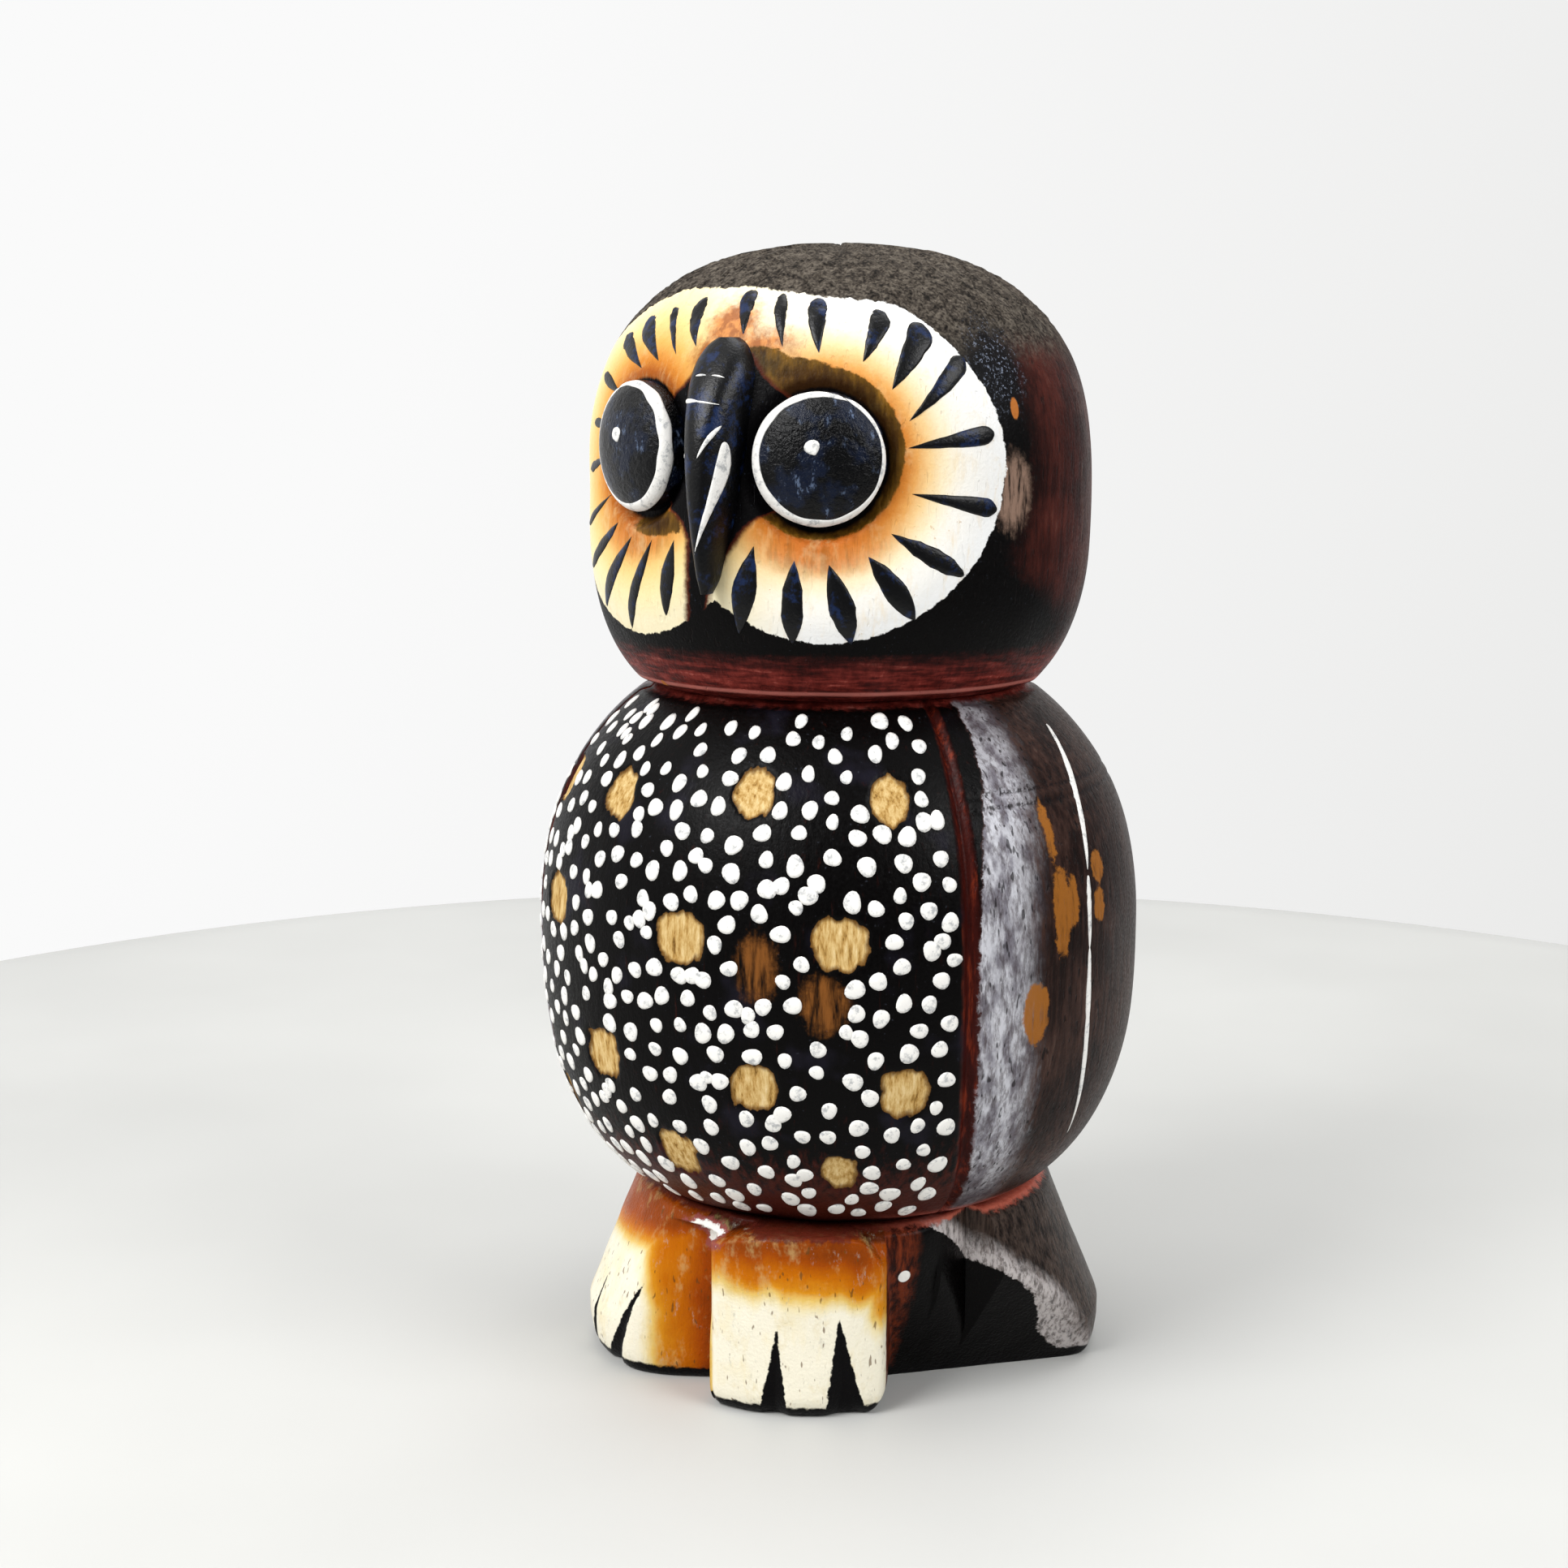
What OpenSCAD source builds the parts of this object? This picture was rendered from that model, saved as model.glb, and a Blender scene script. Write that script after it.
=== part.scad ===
// Owl figurine, turned on a lathe in three sections and then carved and painted.
// The sections are pegged together with two hidden dowels. The eyes are turned
// buttons with a spigot, and the beak is a carved wedge with a peg.
// +Z is up and the owl looks along -Y, so its left side is at +X. The origin is
// on the turning axis, at the level that the feet and the tail stand on.
// An azimuth is an angle about the axis, from the front (-Y) towards +X.

/* [Heights] */
// Height of the whole figurine
total_h = 150; // [148:1:154]
// Height of the neck joint above the table
neck_z = 92.4; // [91.4:0.2:93.4]
// Height of the waist joint above the table
waist_z = 24.4; // [24:0.1:25]

/* [Head] */
// Radius of the head at its widest ring
head_r = 33.6; // [33:0.1:34.2]
// Height of the head's widest ring
head_mid_z = 118.8; // [118:0.2:119.6]
// Squareness of the head above its widest ring
head_top_n = 2.5; // [2.3:0.1:2.8]
// Squareness of the head below its widest ring
head_low_n = 3; // [2.8:0.1:3.2]
// Depth below its widest ring at which the head would close
head_low_h = 33; // [32.6:0.2:33.6]

/* [Torso] */
// Radius of the torso at its widest ring
torso_r = 41; // [40:0.2:42]
// Height of the torso's widest ring
torso_mid_z = 60.4; // [60:0.2:61]
// Height above the widest ring at which the torso would close
torso_top_h = 38.6; // [38:0.2:39.2]
// Squareness of the torso above its widest ring
torso_top_n = 2.3; // [2.2:0.1:2.4]
// Depth below the widest ring at which the torso would close
torso_low_h = 41; // [40:0.2:42]
// Squareness of the torso below its widest ring
torso_low_n = 2.85; // [2.7:0.05:3]
// Azimuth of the groove between the belly and each wing
wing_azimuth = 52; // [46:1:58]
// Width of the wing groove, as an angle about the axis
wing_groove_angle = 2; // [1:0.5:3]
// Depth of the wing groove
wing_groove_depth = 0.8; // [0.4:0.1:1.2]

/* [Base] */
// Radius of the base at the table
base_r = 36; // [35:0.2:38]
// Height of the upright skirt below the base's cone
skirt_h = 6; // [4:0.5:8]
// Radius of the base under the waist
waist_r = 28.8; // [28:0.1:30]
// Radius of the rounding round the foot of the base
base_round = 2.5; // [1.5:0.5:3]
// Height of the rounded shoulder under the waist
shoulder_h = 1.4; // [1:0.1:1.8]
// Turn of the feet and the tail from straight ahead
feet_turn = -3; // [-6:1:0]

/* [Feet] */
// Azimuth of each foot from the feet's own centre line
foot_azimuth = 22.5; // [21:0.5:24]
// Distance of the left foot's flat front from the axis
foot_front = 32.2; // [31:0.2:33]
// Distance of the right foot's flat front from the axis
right_foot_front = 33.2; // [32:0.2:34]
// Width of the left foot
foot_w = 22.6; // [21:0.2:23]
// Width of the right foot
right_foot_w = 22; // [21:0.2:23]
// Angle by which the cuts behind the right foot are turned further back
right_foot_splay = 18; // [12:1:20]
// Height of the left foot's block, up to the ledge under the waist
foot_top = 23; // [21:0.2:24]
// Radius of the left foot's block, before its front and its side are cut
foot_block_r = 34.4; // [33.4:0.2:35]
// Angle by which a foot narrows towards its back
foot_taper = 6; // [4:1:8]
// Distance of the notch's bottom from the axis
notch_r = 25.5; // [22:0.5:27]
// Height of the notch between the feet
notch_h = 22; // [18:0.5:23]
// Azimuth of the slanted flank cut behind each foot
flank_azimuth = 47; // [44:1:50]
// Slant of the flank cut from upright
flank_slant = 29; // [26:0.5:31]
// Distance of the flank cut from the origin
flank_dist = 16.6; // [16:0.1:17.5]

/* [Dowels] */
// Radius of the two dowels
dowel_r = 5; // [4:0.5:6]
// Length of each dowel
dowel_l = 28; // [24:1:30]
// Depth of each dowel hole past the dowel's end
dowel_gap = 1; // [0.5:0.5:1.5]
// Glue gap round every dowel, spigot and peg
glue_gap = 0.05; // [0.02:0.01:0.1]
// Chamfer at each dowel's ends
dowel_chamfer = 1; // [0.5:0.5:1.5]

/* [Eyes] */
// Azimuth of the left eye
left_eye_azimuth = 23.5; // [22.5:0.5:26]
// Azimuth of the right eye
right_eye_azimuth = -25; // [-27:0.5:-24]
// Height of the left eye's axis
left_eye_z = 122.8; // [122:0.2:124]
// Height of the right eye's axis
right_eye_z = 124; // [123:0.2:125]
// Radius of an eye
eye_r = 8.2; // [7.6:0.2:8.6]
// Thickness of an eye's straight rim
eye_rim = 2; // [1.5:0.1:2.2]
// Height of an eye's dome
eye_dome = 2.8; // [2.4:0.2:3.4]
// Radius of an eye's spigot
spigot_r = 3; // [2:0.5:3.5]
// Length of an eye's spigot
spigot_l = 8; // [6:1:9]
// Distance of the socket's floor from the axis
socket_floor = 30; // [29:0.5:31]
// Radius of the socket at its floor
socket_r = 8.8; // [8.7:0.1:9.2]
// Radius of the socket at the head's surface
socket_mouth_r = 10.4; // [10:0.2:11]

/* [Beak] */
// Height of the beak's tip
beak_tip_z = 106.4; // [105:0.2:108]
// Height of the beak's root between the brows
beak_root_z = 137.4; // [136:0.2:138]
// Distance of the beak's ridge from the axis
beak_ridge = 38; // [37:0.2:39]
// Half the beak's width at its widest
beak_half_w = 4.2; // [3.6:0.2:4.6]
// Radius of the beak's peg
peg_r = 2; // [1.5:0.25:2.5]
// Length of the peg inside the head
peg_l = 8; // [6:1:9]
// Height of the peg's axis
peg_z = 122; // [120:1:124]

/* [Hidden] */
$fn = 96;
// Steps along each half of a turned bulge
STEPS = 20;
// Larger than the whole figurine, for cutting blocks
FAR = 60;
// How far a cutter runs past the surface that it cuts
OVER = 1;
// Upper end of the head's bulge above its widest ring
head_top_h = total_h - head_mid_z;
// Distance of a dowel's end from its joint
dowel_half = dowel_l / 2;
// Distance of the peg's inner end from the axis
peg_end = head_r - peg_l;
// Distance of a foot's side wall from the axis, along the wall's own normal
function side_of(width, front) = width / 2 * cos(foot_taper) - front * sin(foot_taper);
// Azimuths of the notch's edge on the right foot, its bottom and its edge on the left foot
NOTCH_AZ = [-28, -7, 3.5];

// Point on a bulge: a is 0 at the widest ring and 90 where it would close.
function bulge(r, mid_z, h, n, a) = [r * pow(cos(a), 2 / n), mid_z + h * pow(sin(a), 2 / n)];

// Angle at which a bulge reaches the height z.
function bulge_end(mid_z, h, n, z) = asin(pow((z - mid_z) / h, n / 2));

// Outline of half a bulge, from its widest ring to the angle a_end.
function half_bulge(r, mid_z, h, n, a_end) = [for (i = [0:STEPS]) bulge(r, mid_z, h, n, a_end * i / STEPS)];

function reversed(list) = [for (i = [len(list) - 1:-1:0]) list[i]];

// Outline of half a bulge hanging below its widest ring, as far down as z_end.
function low_bulge(r, mid_z, h, n, z_end) =
    let (a_end = bulge_end(0, h, n, mid_z - z_end))
    [for (p = half_bulge(r, 0, h, n, a_end)) [p[0], mid_z - p[1]]];

function polar(azimuth, r) = [r * sin(azimuth), -r * cos(azimuth)];

head_outline = concat(
    reversed(low_bulge(head_r, head_mid_z, head_low_h, head_low_n, neck_z)),
    half_bulge(head_r, head_mid_z, head_top_h, head_top_n, 90)
);

torso_outline = concat(
    reversed(low_bulge(torso_r, torso_mid_z, torso_low_h, torso_low_n, waist_z)),
    half_bulge(torso_r, torso_mid_z, torso_top_h, torso_top_n,
        bulge_end(torso_mid_z, torso_top_h, torso_top_n, neck_z))
);

// Half-space on the outer side of an upright plane, dist from the axis.
module beyond(dist) {
    translate([-FAR, -dist - FAR, -FAR]) cube([2 * FAR, FAR, 2 * FAR]);
}

// Rod along -Y whose near end is start from the axis, at the height z.
module forward_rod(r, start, length, z) {
    translate([0, -start, z]) rotate([90, 0, 0]) cylinder(r = r, h = length);
}

// The head's turned solid, before its sockets are cut.
module head_blank() {
    rotate_extrude() polygon(concat([[0, neck_z]], head_outline));
}

// Socket for one eye: a cone-sided recess with a spigot hole in its floor.
module eye_socket(azimuth, z) {
    rotate([0, 0, azimuth]) {
        translate([0, -socket_floor, z])
            rotate([90, 0, 0])
                cylinder(r1 = socket_r, r2 = socket_mouth_r + OVER, h = head_r - socket_floor + OVER);
        forward_rod(spigot_r + glue_gap, socket_floor - spigot_l - dowel_gap,
            spigot_l + dowel_gap + OVER, z);
    }
}

// Hole for one dowel, centred on its joint.
module dowel_hole(joint_z) {
    translate([0, 0, joint_z - dowel_half - dowel_gap])
        cylinder(r = dowel_r + glue_gap, h = dowel_l + 2 * dowel_gap);
}

module head() {
    color("#2b1a17") difference() {
        head_blank();
        eye_socket(left_eye_azimuth, left_eye_z);
        eye_socket(right_eye_azimuth, right_eye_z);
        forward_rod(peg_r + glue_gap, peg_end - dowel_gap, peg_l + dowel_gap + OVER, peg_z);
        dowel_hole(neck_z);
    }
}

// Narrow groove that follows the torso's outline from the neck to the waist.
module wing_groove(azimuth) {
    inner = [for (p = torso_outline) [p[0] - wing_groove_depth, p[1]]];
    outer = [for (p = torso_outline) [p[0] + OVER, p[1]]];
    rotate([0, 0, azimuth - 90 - wing_groove_angle / 2])
        rotate_extrude(angle = wing_groove_angle) polygon(concat(inner, reversed(outer)));
}

module torso() {
    color("#1c1210") difference() {
        rotate_extrude() polygon(concat([[0, waist_z]], torso_outline, [[0, neck_z]]));
        wing_groove(wing_azimuth);
        wing_groove(-wing_azimuth);
        dowel_hole(neck_z);
        dowel_hole(waist_z);
    }
}

// The base's turned flare, before the feet and the tail are cut from it.
module base_blank() {
    foot_round = [for (a = [-90:15:0])
        [base_r - base_round + base_round * cos(a), base_round + base_round * sin(a)]];
    shoulder = [for (a = [0:15:90])
        [waist_r - shoulder_h + shoulder_h * cos(a), waist_z - shoulder_h + shoulder_h * sin(a)]];
    rotate_extrude() polygon(concat([[0, 0]], foot_round, [[base_r, skirt_h]], shoulder, [[0, waist_z]]));
}

// V-shaped notch between the two feet.
module toe_notch() {
    linear_extrude(notch_h)
        polygon([polar(NOTCH_AZ[0], base_r + OVER), polar(NOTCH_AZ[1], notch_r),
            polar(NOTCH_AZ[2], base_r + OVER)]);
}

// Slanted cut that parts one foot from the tail. It stops at the foot's side wall.
module flank_cut(foot_side) {
    intersection() {
        rotate([0, 0, flank_azimuth]) rotate([flank_slant, 0, 0]) beyond(flank_dist);
        rotate([0, 0, foot_azimuth + 90 + foot_taper]) beyond(foot_side);
    }
}

// Block of the left foot, which reaches past the flare under the waist and leaves a ledge.
module foot_block() {
    intersection() {
        cylinder(r = foot_block_r, h = foot_top);
        linear_extrude(foot_top) polygon([[0, 0], polar(0, FAR), polar(48, FAR)]);
    }
}

module base() {
    color("#a8702a") difference() {
        union() {
            base_blank();
            rotate([0, 0, feet_turn]) foot_block();
        }
        dowel_hole(waist_z);
        rotate([0, 0, feet_turn]) {
            toe_notch();
            rotate([0, 0, foot_azimuth]) beyond(foot_front);
            rotate([0, 0, -foot_azimuth]) beyond(right_foot_front);
            flank_cut(side_of(foot_w, foot_front));
            mirror([1, 0, 0]) rotate([0, 0, right_foot_splay])
                flank_cut(side_of(right_foot_w, right_foot_front));
        }
    }
}

// Dowel with chamfered ends, centred on its joint.
module dowel(joint_z) {
    color("#d8b98a") translate([0, 0, joint_z]) rotate_extrude() polygon([
        [0, -dowel_half],
        [dowel_r - dowel_chamfer, -dowel_half],
        [dowel_r, -dowel_half + dowel_chamfer],
        [dowel_r, dowel_half - dowel_chamfer],
        [dowel_r - dowel_chamfer, dowel_half],
        [0, dowel_half]
    ]);
}

module neck_dowel() {
    dowel(neck_z);
}

module waist_dowel() {
    dowel(waist_z);
}

// Turned eye: a domed button on a spigot, whose rim sits on the socket's floor.
module eye(azimuth, z) {
    spigot = [[0, -spigot_l], [spigot_r, -spigot_l], [spigot_r, 0], [eye_r, 0]];
    dome = [for (a = [0:7.5:90]) [eye_r * cos(a), eye_rim + eye_dome * sin(a)]];
    color("#0c0b0d") rotate([0, 0, azimuth])
        translate([0, -socket_floor, z])
            rotate([90, 0, 0])
                rotate_extrude() polygon(concat(spigot, dome));
}

module left_eye() {
    eye(left_eye_azimuth, left_eye_z);
}

module right_eye() {
    eye(right_eye_azimuth, right_eye_z);
}

// Beak seen from the side: [distance from the axis, height] round its outline.
module beak_side() {
    rotate([90, 0, -90]) linear_extrude(2 * FAR, center = true) polygon([
        [beak_ridge - 7.6, beak_root_z],
        [beak_ridge - 3.2, beak_root_z - 3.6],
        [beak_ridge - 0.8, beak_root_z - 10],
        [beak_ridge, beak_root_z - 18],
        [beak_ridge - 0.6, beak_tip_z + 5.5],
        [beak_ridge - 2, beak_tip_z],
        [beak_ridge - 3.6, beak_tip_z + 1],
        [beak_ridge - 5, beak_tip_z + 5],
        [peg_end, beak_tip_z + 8],
        [peg_end, beak_root_z]
    ]);
}

// Beak seen from the front: [half width, height] down one side.
module beak_front() {
    flank = [
        [beak_half_w * 0.5, beak_root_z],
        [beak_half_w, beak_root_z - 5.5],
        [beak_half_w, beak_root_z - 11],
        [beak_half_w * 0.8, beak_root_z - 19],
        [beak_half_w * 0.45, beak_tip_z + 4],
        [beak_half_w * 0.15, beak_tip_z]
    ];
    rotate([90, 0, 0]) linear_extrude(2 * FAR, center = true)
        polygon(concat(flank, [for (p = reversed(flank)) [-p[0], p[1]]]));
}

// Roof shape that gives the beak its ridge, seen from above.
module beak_roof() {
    linear_extrude(total_h) polygon([[0, -beak_ridge], [2 * beak_half_w, -beak_ridge + 3.5],
        [2 * beak_half_w, 0], [-2 * beak_half_w, 0], [-2 * beak_half_w, -beak_ridge + 3.5]]);
}

module beak() {
    color("#0c0b0d") {
        difference() {
            intersection() {
                beak_side();
                beak_front();
                beak_roof();
            }
            head_blank();
        }
        forward_rod(peg_r, peg_end, beak_ridge - 3 - peg_end, peg_z);
    }
}

head();
torso();
base();
neck_dowel();
waist_dowel();
left_eye();
right_eye();
beak();
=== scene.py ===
import bpy
import numpy as np
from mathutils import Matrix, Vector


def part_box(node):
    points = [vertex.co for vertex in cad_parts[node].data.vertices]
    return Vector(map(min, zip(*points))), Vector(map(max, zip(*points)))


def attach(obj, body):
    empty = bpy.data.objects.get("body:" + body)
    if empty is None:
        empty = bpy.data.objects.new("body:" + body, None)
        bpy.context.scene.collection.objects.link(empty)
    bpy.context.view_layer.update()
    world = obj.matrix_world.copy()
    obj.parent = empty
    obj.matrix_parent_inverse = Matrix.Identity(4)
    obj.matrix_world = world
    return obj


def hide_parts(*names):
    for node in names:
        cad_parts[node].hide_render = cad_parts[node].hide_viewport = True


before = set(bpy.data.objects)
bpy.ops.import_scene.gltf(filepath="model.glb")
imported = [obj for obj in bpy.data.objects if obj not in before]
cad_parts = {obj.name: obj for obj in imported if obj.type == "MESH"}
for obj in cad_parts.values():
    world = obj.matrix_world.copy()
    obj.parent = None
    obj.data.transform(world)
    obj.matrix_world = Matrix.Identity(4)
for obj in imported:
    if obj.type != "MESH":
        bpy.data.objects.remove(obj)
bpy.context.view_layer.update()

scene = bpy.context.scene

# ---------------------------------------------------------------- studio and camera
# A round pale table-top in a white room. The room is brighter behind the owl than in
# front of it, which keeps the black gloss paint deep, and two soft lamps lift the face.
MM = 0.001
VIEW_AZIMUTH = 28
VIEW_DISTANCE = 328.1
VIEW_HEIGHT = 132.9
VIEW_TILT = 9.55
VIEW_TURN = 1.3
TABLE_RADIUS = 280
TABLE_CENTRE = (-10, 25)


def linear(colour):
    """An sRGB hex colour as linear RGBA: each channel c goes to ((c + 0.055) / 1.055) ** 2.4,
    or to c / 12.92 in the darkest part of the range."""
    channels = np.array([int(colour[i:i + 2], 16) / 255 for i in (1, 3, 5)])
    curve = np.where(channels > 0.04045, ((channels + 0.055) / 1.055) ** 2.4, channels / 12.92)
    return (*curve.tolist(), 1)


def add(kind, *values, inputs=(), out="", stops=(), **settings):
    """Add one node to the tree in hand, and return its first open output or the one named.
    The values go to its open inputs in turn, and the inputs to those they name: each is a
    number, a hex colour or the output that feeds it. The stops are a colour ramp's
    (position, hex colour) pairs, and the settings are the node's own."""
    item = tree.nodes.new("ShaderNode" + kind)
    for name, value in settings.items():
        setattr(item, name, value)
    in_turn = zip([socket for socket in item.inputs if socket.enabled], values)
    named = [(item.inputs[name], value) for name, value in dict(inputs).items()]
    for socket, value in [*in_turn, *named]:
        if isinstance(value, bpy.types.NodeSocket):
            tree.links.new(value, socket)
        else:
            socket.default_value = linear(value) if isinstance(value, str) else value
    for step in stops[2:]:
        item.color_ramp.elements.new(1)
    for (position, colour), stop in zip(stops, item.color_ramp.elements if stops else ()):
        stop.position, stop.color = position, linear(colour)
    return next((end for end in item.outputs if end.enabled and out in ("", end.name)), None)


def direction(azimuth, rise):
    """Unit vector at an azimuth from the front, raised by an angle."""
    a, e = np.radians([azimuth, rise])
    return np.array([np.sin(a) * np.cos(e), -np.cos(a) * np.cos(e), np.sin(e)])


camera_data = bpy.data.cameras.new("camera")
camera_data.lens = 55.9
camera_data.sensor_width = 36
camera_data.clip_start = 0.01
camera = bpy.data.objects.new("camera", camera_data)
camera.location = (direction(VIEW_AZIMUTH, 0) * VIEW_DISTANCE + [0, 0, VIEW_HEIGHT]) * MM
camera.rotation_euler = np.radians([90 - VIEW_TILT, 0, VIEW_AZIMUTH + VIEW_TURN])
scene.collection.objects.link(camera)
scene.camera = camera
scene.view_settings.view_transform = "Standard"

world = bpy.data.worlds.new("white_room")
scene.world = world
world.use_nodes = True
tree = world.node_tree
tree.nodes.clear()
gaze = add("TexCoord", out="Generated")
behind = add("VectorMath", gaze, (-direction(VIEW_AZIMUTH + 45, -14)).tolist(), operation="DOT_PRODUCT")
blend = add("MapRange", behind, -1, 1)
room_tone = add("ValToRGB", blend,
                stops=[(0.1, "#6a6c70"), (0.45, "#acaeb1"), (0.7, "#ebebea"), (0.9, "#fafafa")])
add("OutputWorld", add("Background", room_tone, 1.0))

for name, azimuth, rise, distance, size, power in (
        ("key_lamp", -20, 40, 900, 500, 7.4),
        ("fill_lamp", 82, 32, 1000, 600, 6.2),
        ("top_lamp", 170, 75, 900, 700, 3.5)):
    lamp_data = bpy.data.lights.new(name, "AREA")
    lamp_data.shape = "DISK"
    lamp_data.size = size * MM
    lamp_data.energy = power
    lamp = bpy.data.objects.new(name, lamp_data)
    towards = direction(azimuth, rise)
    lamp.location = (towards * distance + [0, 0, 75]) * MM
    lamp.rotation_euler = np.radians([90 - rise, 0, azimuth])
    scene.collection.objects.link(lamp)


def skins(rings, name, marks=None):
    """Object made of closed skins. The rings are an array (skin, ring, step, xyz) in mm:
    each ring joins the next with quads, and the first and the last close on one pole. The
    steps run anticlockwise seen from the last pole, so faces point outwards. The marks are
    values kept at each point, as arrays (skin, ring, step)."""
    count, rows, steps = rings.shape[:3]
    own = (rows - 2) * steps + 2

    def gathered(values):
        flat = values[:, 1:-1].reshape(count, (rows - 2) * steps, -1)
        return np.concatenate([values[:, 0, :1].reshape(count, 1, -1), flat,
                               values[:, -1, :1].reshape(count, 1, -1)], 1)

    ring, step = np.meshgrid(np.arange(rows), np.arange(steps), indexing="ij")
    index = np.where(ring == 0, 0, np.where(ring == rows - 1, own - 1,
                     1 + (ring - 1) * steps + step))
    after = np.roll(index, -1, 1)
    quads = np.stack([index[1:-2], after[1:-2], after[2:-1], index[2:-1]], -1).reshape(-1, 4)
    bottom = np.stack([index[0], after[1], index[1]], -1)
    top = np.stack([index[-2], after[-2], index[-1]], -1)
    shift = np.arange(count)[:, None] * own
    corners = np.concatenate([(quads.reshape(1, -1) + shift).ravel(),
                              (np.concatenate([bottom, top]).reshape(1, -1) + shift).ravel()])
    sizes = np.concatenate([np.full(len(quads) * count, 4), np.full(2 * steps * count, 3)])
    points = gathered(rings).reshape(-1, 3) * MM
    mesh = bpy.data.meshes.new(name)
    mesh.vertices.add(len(points))
    mesh.vertices.foreach_set("co", points.astype(np.float32).ravel())
    mesh.loops.add(len(corners))
    mesh.loops.foreach_set("vertex_index", corners.astype(np.int32))
    mesh.polygons.add(len(sizes))
    mesh.polygons.foreach_set("loop_start", (np.cumsum(sizes) - sizes).astype(np.int32))
    mesh.polygons.foreach_set("use_smooth", np.ones(len(sizes), bool))
    mesh.update(calc_edges=True)
    for label, values in (marks or {}).items():
        mark = mesh.attributes.new(label, "FLOAT", "POINT")
        mark.data.foreach_set("value", gathered(values).astype(np.float32).ravel())
    mesh.validate()
    made = bpy.data.objects.new(name, mesh)
    scene.collection.objects.link(made)
    return made


def finish(name):
    """Empty node material of that name, and its tree."""
    material = bpy.data.materials.new(name)
    material.use_nodes = True
    material.node_tree.nodes.clear()
    return material, material.node_tree


table_turn = np.radians(np.arange(0, 360, 2.5))
table_outline = np.array([[0, -20], [0.9, -20], [0.99, -17], [1, -10], [0.992, -3],
                          [0.97, -0.5], [0.93, 0], [0.5, 0], [0.2, 0], [0, 0]])
table_rings = np.empty((1, len(table_outline), len(table_turn), 3))
table_rings[0, ..., 0] = TABLE_CENTRE[0] + TABLE_RADIUS * np.outer(table_outline[:, 0], np.cos(table_turn))
table_rings[0, ..., 1] = TABLE_CENTRE[1] + TABLE_RADIUS * np.outer(table_outline[:, 0], np.sin(table_turn))
table_rings[0, ..., 2] = table_outline[:, 1:]
table = skins(table_rings, "table_top")

# Matt white lacquered board: very slightly mottled, with no mirror in it.
lacquer, tree = finish("matt_white_lacquer")
place = add("TexCoord", out="Object")
mottle_and_reflection = add("TexNoise", place, 9, 3)
tone = add("ValToRGB", mottle_and_reflection, stops=[(0.3, "#babab7"), (0.7, "#c3c3c0")])
board = add("BsdfPrincipled", inputs={"Base Color": tone, "Roughness": 0.55, "Specular IOR Level": 0.25})
add("OutputMaterial", board)
table.data.materials.append(lacquer)

# ---------------------------------------------------------------- head
# Turned block of light wood, its face hollowed with a gouge round two cone-sided eye
# sockets. It is painted black and red-brown, and the end grain on top is left rough.
NECK_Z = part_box("head")[0].z / MM
CROWN_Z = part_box("head")[1].z / MM
HEAD_R = 33.6
HEAD_MID = 118.8
HEAD_UP = (CROWN_Z - HEAD_MID, 2.5)
HEAD_DOWN = (33, 3)
DISH = 1.3
FACET = 0.16
LEFT_EYE = (23.5, 122.8)
RIGHT_EYE = (-25, 124)
SOCKET_FLOOR = 30
SOCKET_R = 8.7
SOCKET_MOUTH = 10.7
FACE_AZIMUTH = 25
FACE_Z = 122.2
FACE_R = 21.9
FACE_TOP = 143.9
TURN_STEPS = 512


def ripples(u, v, around, seed):
    """Smooth noise from -1 to 1. Random heights stand on a whole-number lattice, and each
    point takes the heights round it by the step 3t^2 - 2t^3. It closes after `around` in u."""
    heights = np.random.default_rng(seed).uniform(-1, 1, (around, 97))
    column, row = np.floor(u).astype(int), np.floor(v).astype(int)
    s, t = u - column, v - row
    s, t = s * s * (3 - 2 * s), t * t * (3 - 2 * t)
    near = heights[column % around, row % 97] * (1 - s) + heights[(column + 1) % around, row % 97] * s
    far = (heights[column % around, (row + 1) % 97] * (1 - s)
           + heights[(column + 1) % around, (row + 1) % 97] * s)
    return near * (1 - t) + far * t


def step_up(low, high, x):
    """0 below low, 1 above high, and 3t^2 - 2t^3 between them."""
    t = np.clip((x - low) / (high - low), 0, 1)
    return t * t * (3 - 2 * t)


def flow(x, knots):
    """Smooth curve y(x) through the given knots: cubic pieces whose slopes at the knots are
    those of the line from the knot before to the knot after."""
    at, value = np.array(knots, float).T
    slope = np.gradient(value, at)
    x = np.clip(x, at[0], at[-1])
    i = np.clip(np.searchsorted(at, x) - 1, 0, len(at) - 2)
    gap = at[i + 1] - at[i]
    t = (x - at[i]) / gap
    return ((1 + 2 * t) * (1 - t) ** 2 * value[i] + t * (1 - t) ** 2 * gap * slope[i]
            + t * t * (3 - 2 * t) * value[i + 1] - t * t * (1 - t) * gap * slope[i + 1])


def turned(azimuth, z, lift, radius, mid, up, down):
    """Point on a turned bulge. Its outline is the superellipse (r/R)^n + (h/H)^n = 1, with
    one H and n above the widest ring and another below, and the point is moved by the lift
    along the outline's normal."""
    above = z >= mid
    height, power = np.where(above, up[0], down[0]), np.where(above, up[1], down[1])
    h = np.clip(np.abs(z - mid) / height, 0, 1)
    r = (1 - h ** power) ** (1 / power)
    out, rise = r ** (power - 1) / radius, np.sign(z - mid) * h ** (power - 1) / height
    size = np.hypot(out, rise)
    reach = r * radius + lift * out / size
    a = np.radians(azimuth)
    return np.stack([reach * np.sin(a), -reach * np.cos(a), z + lift * rise / size], -1)


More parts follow.
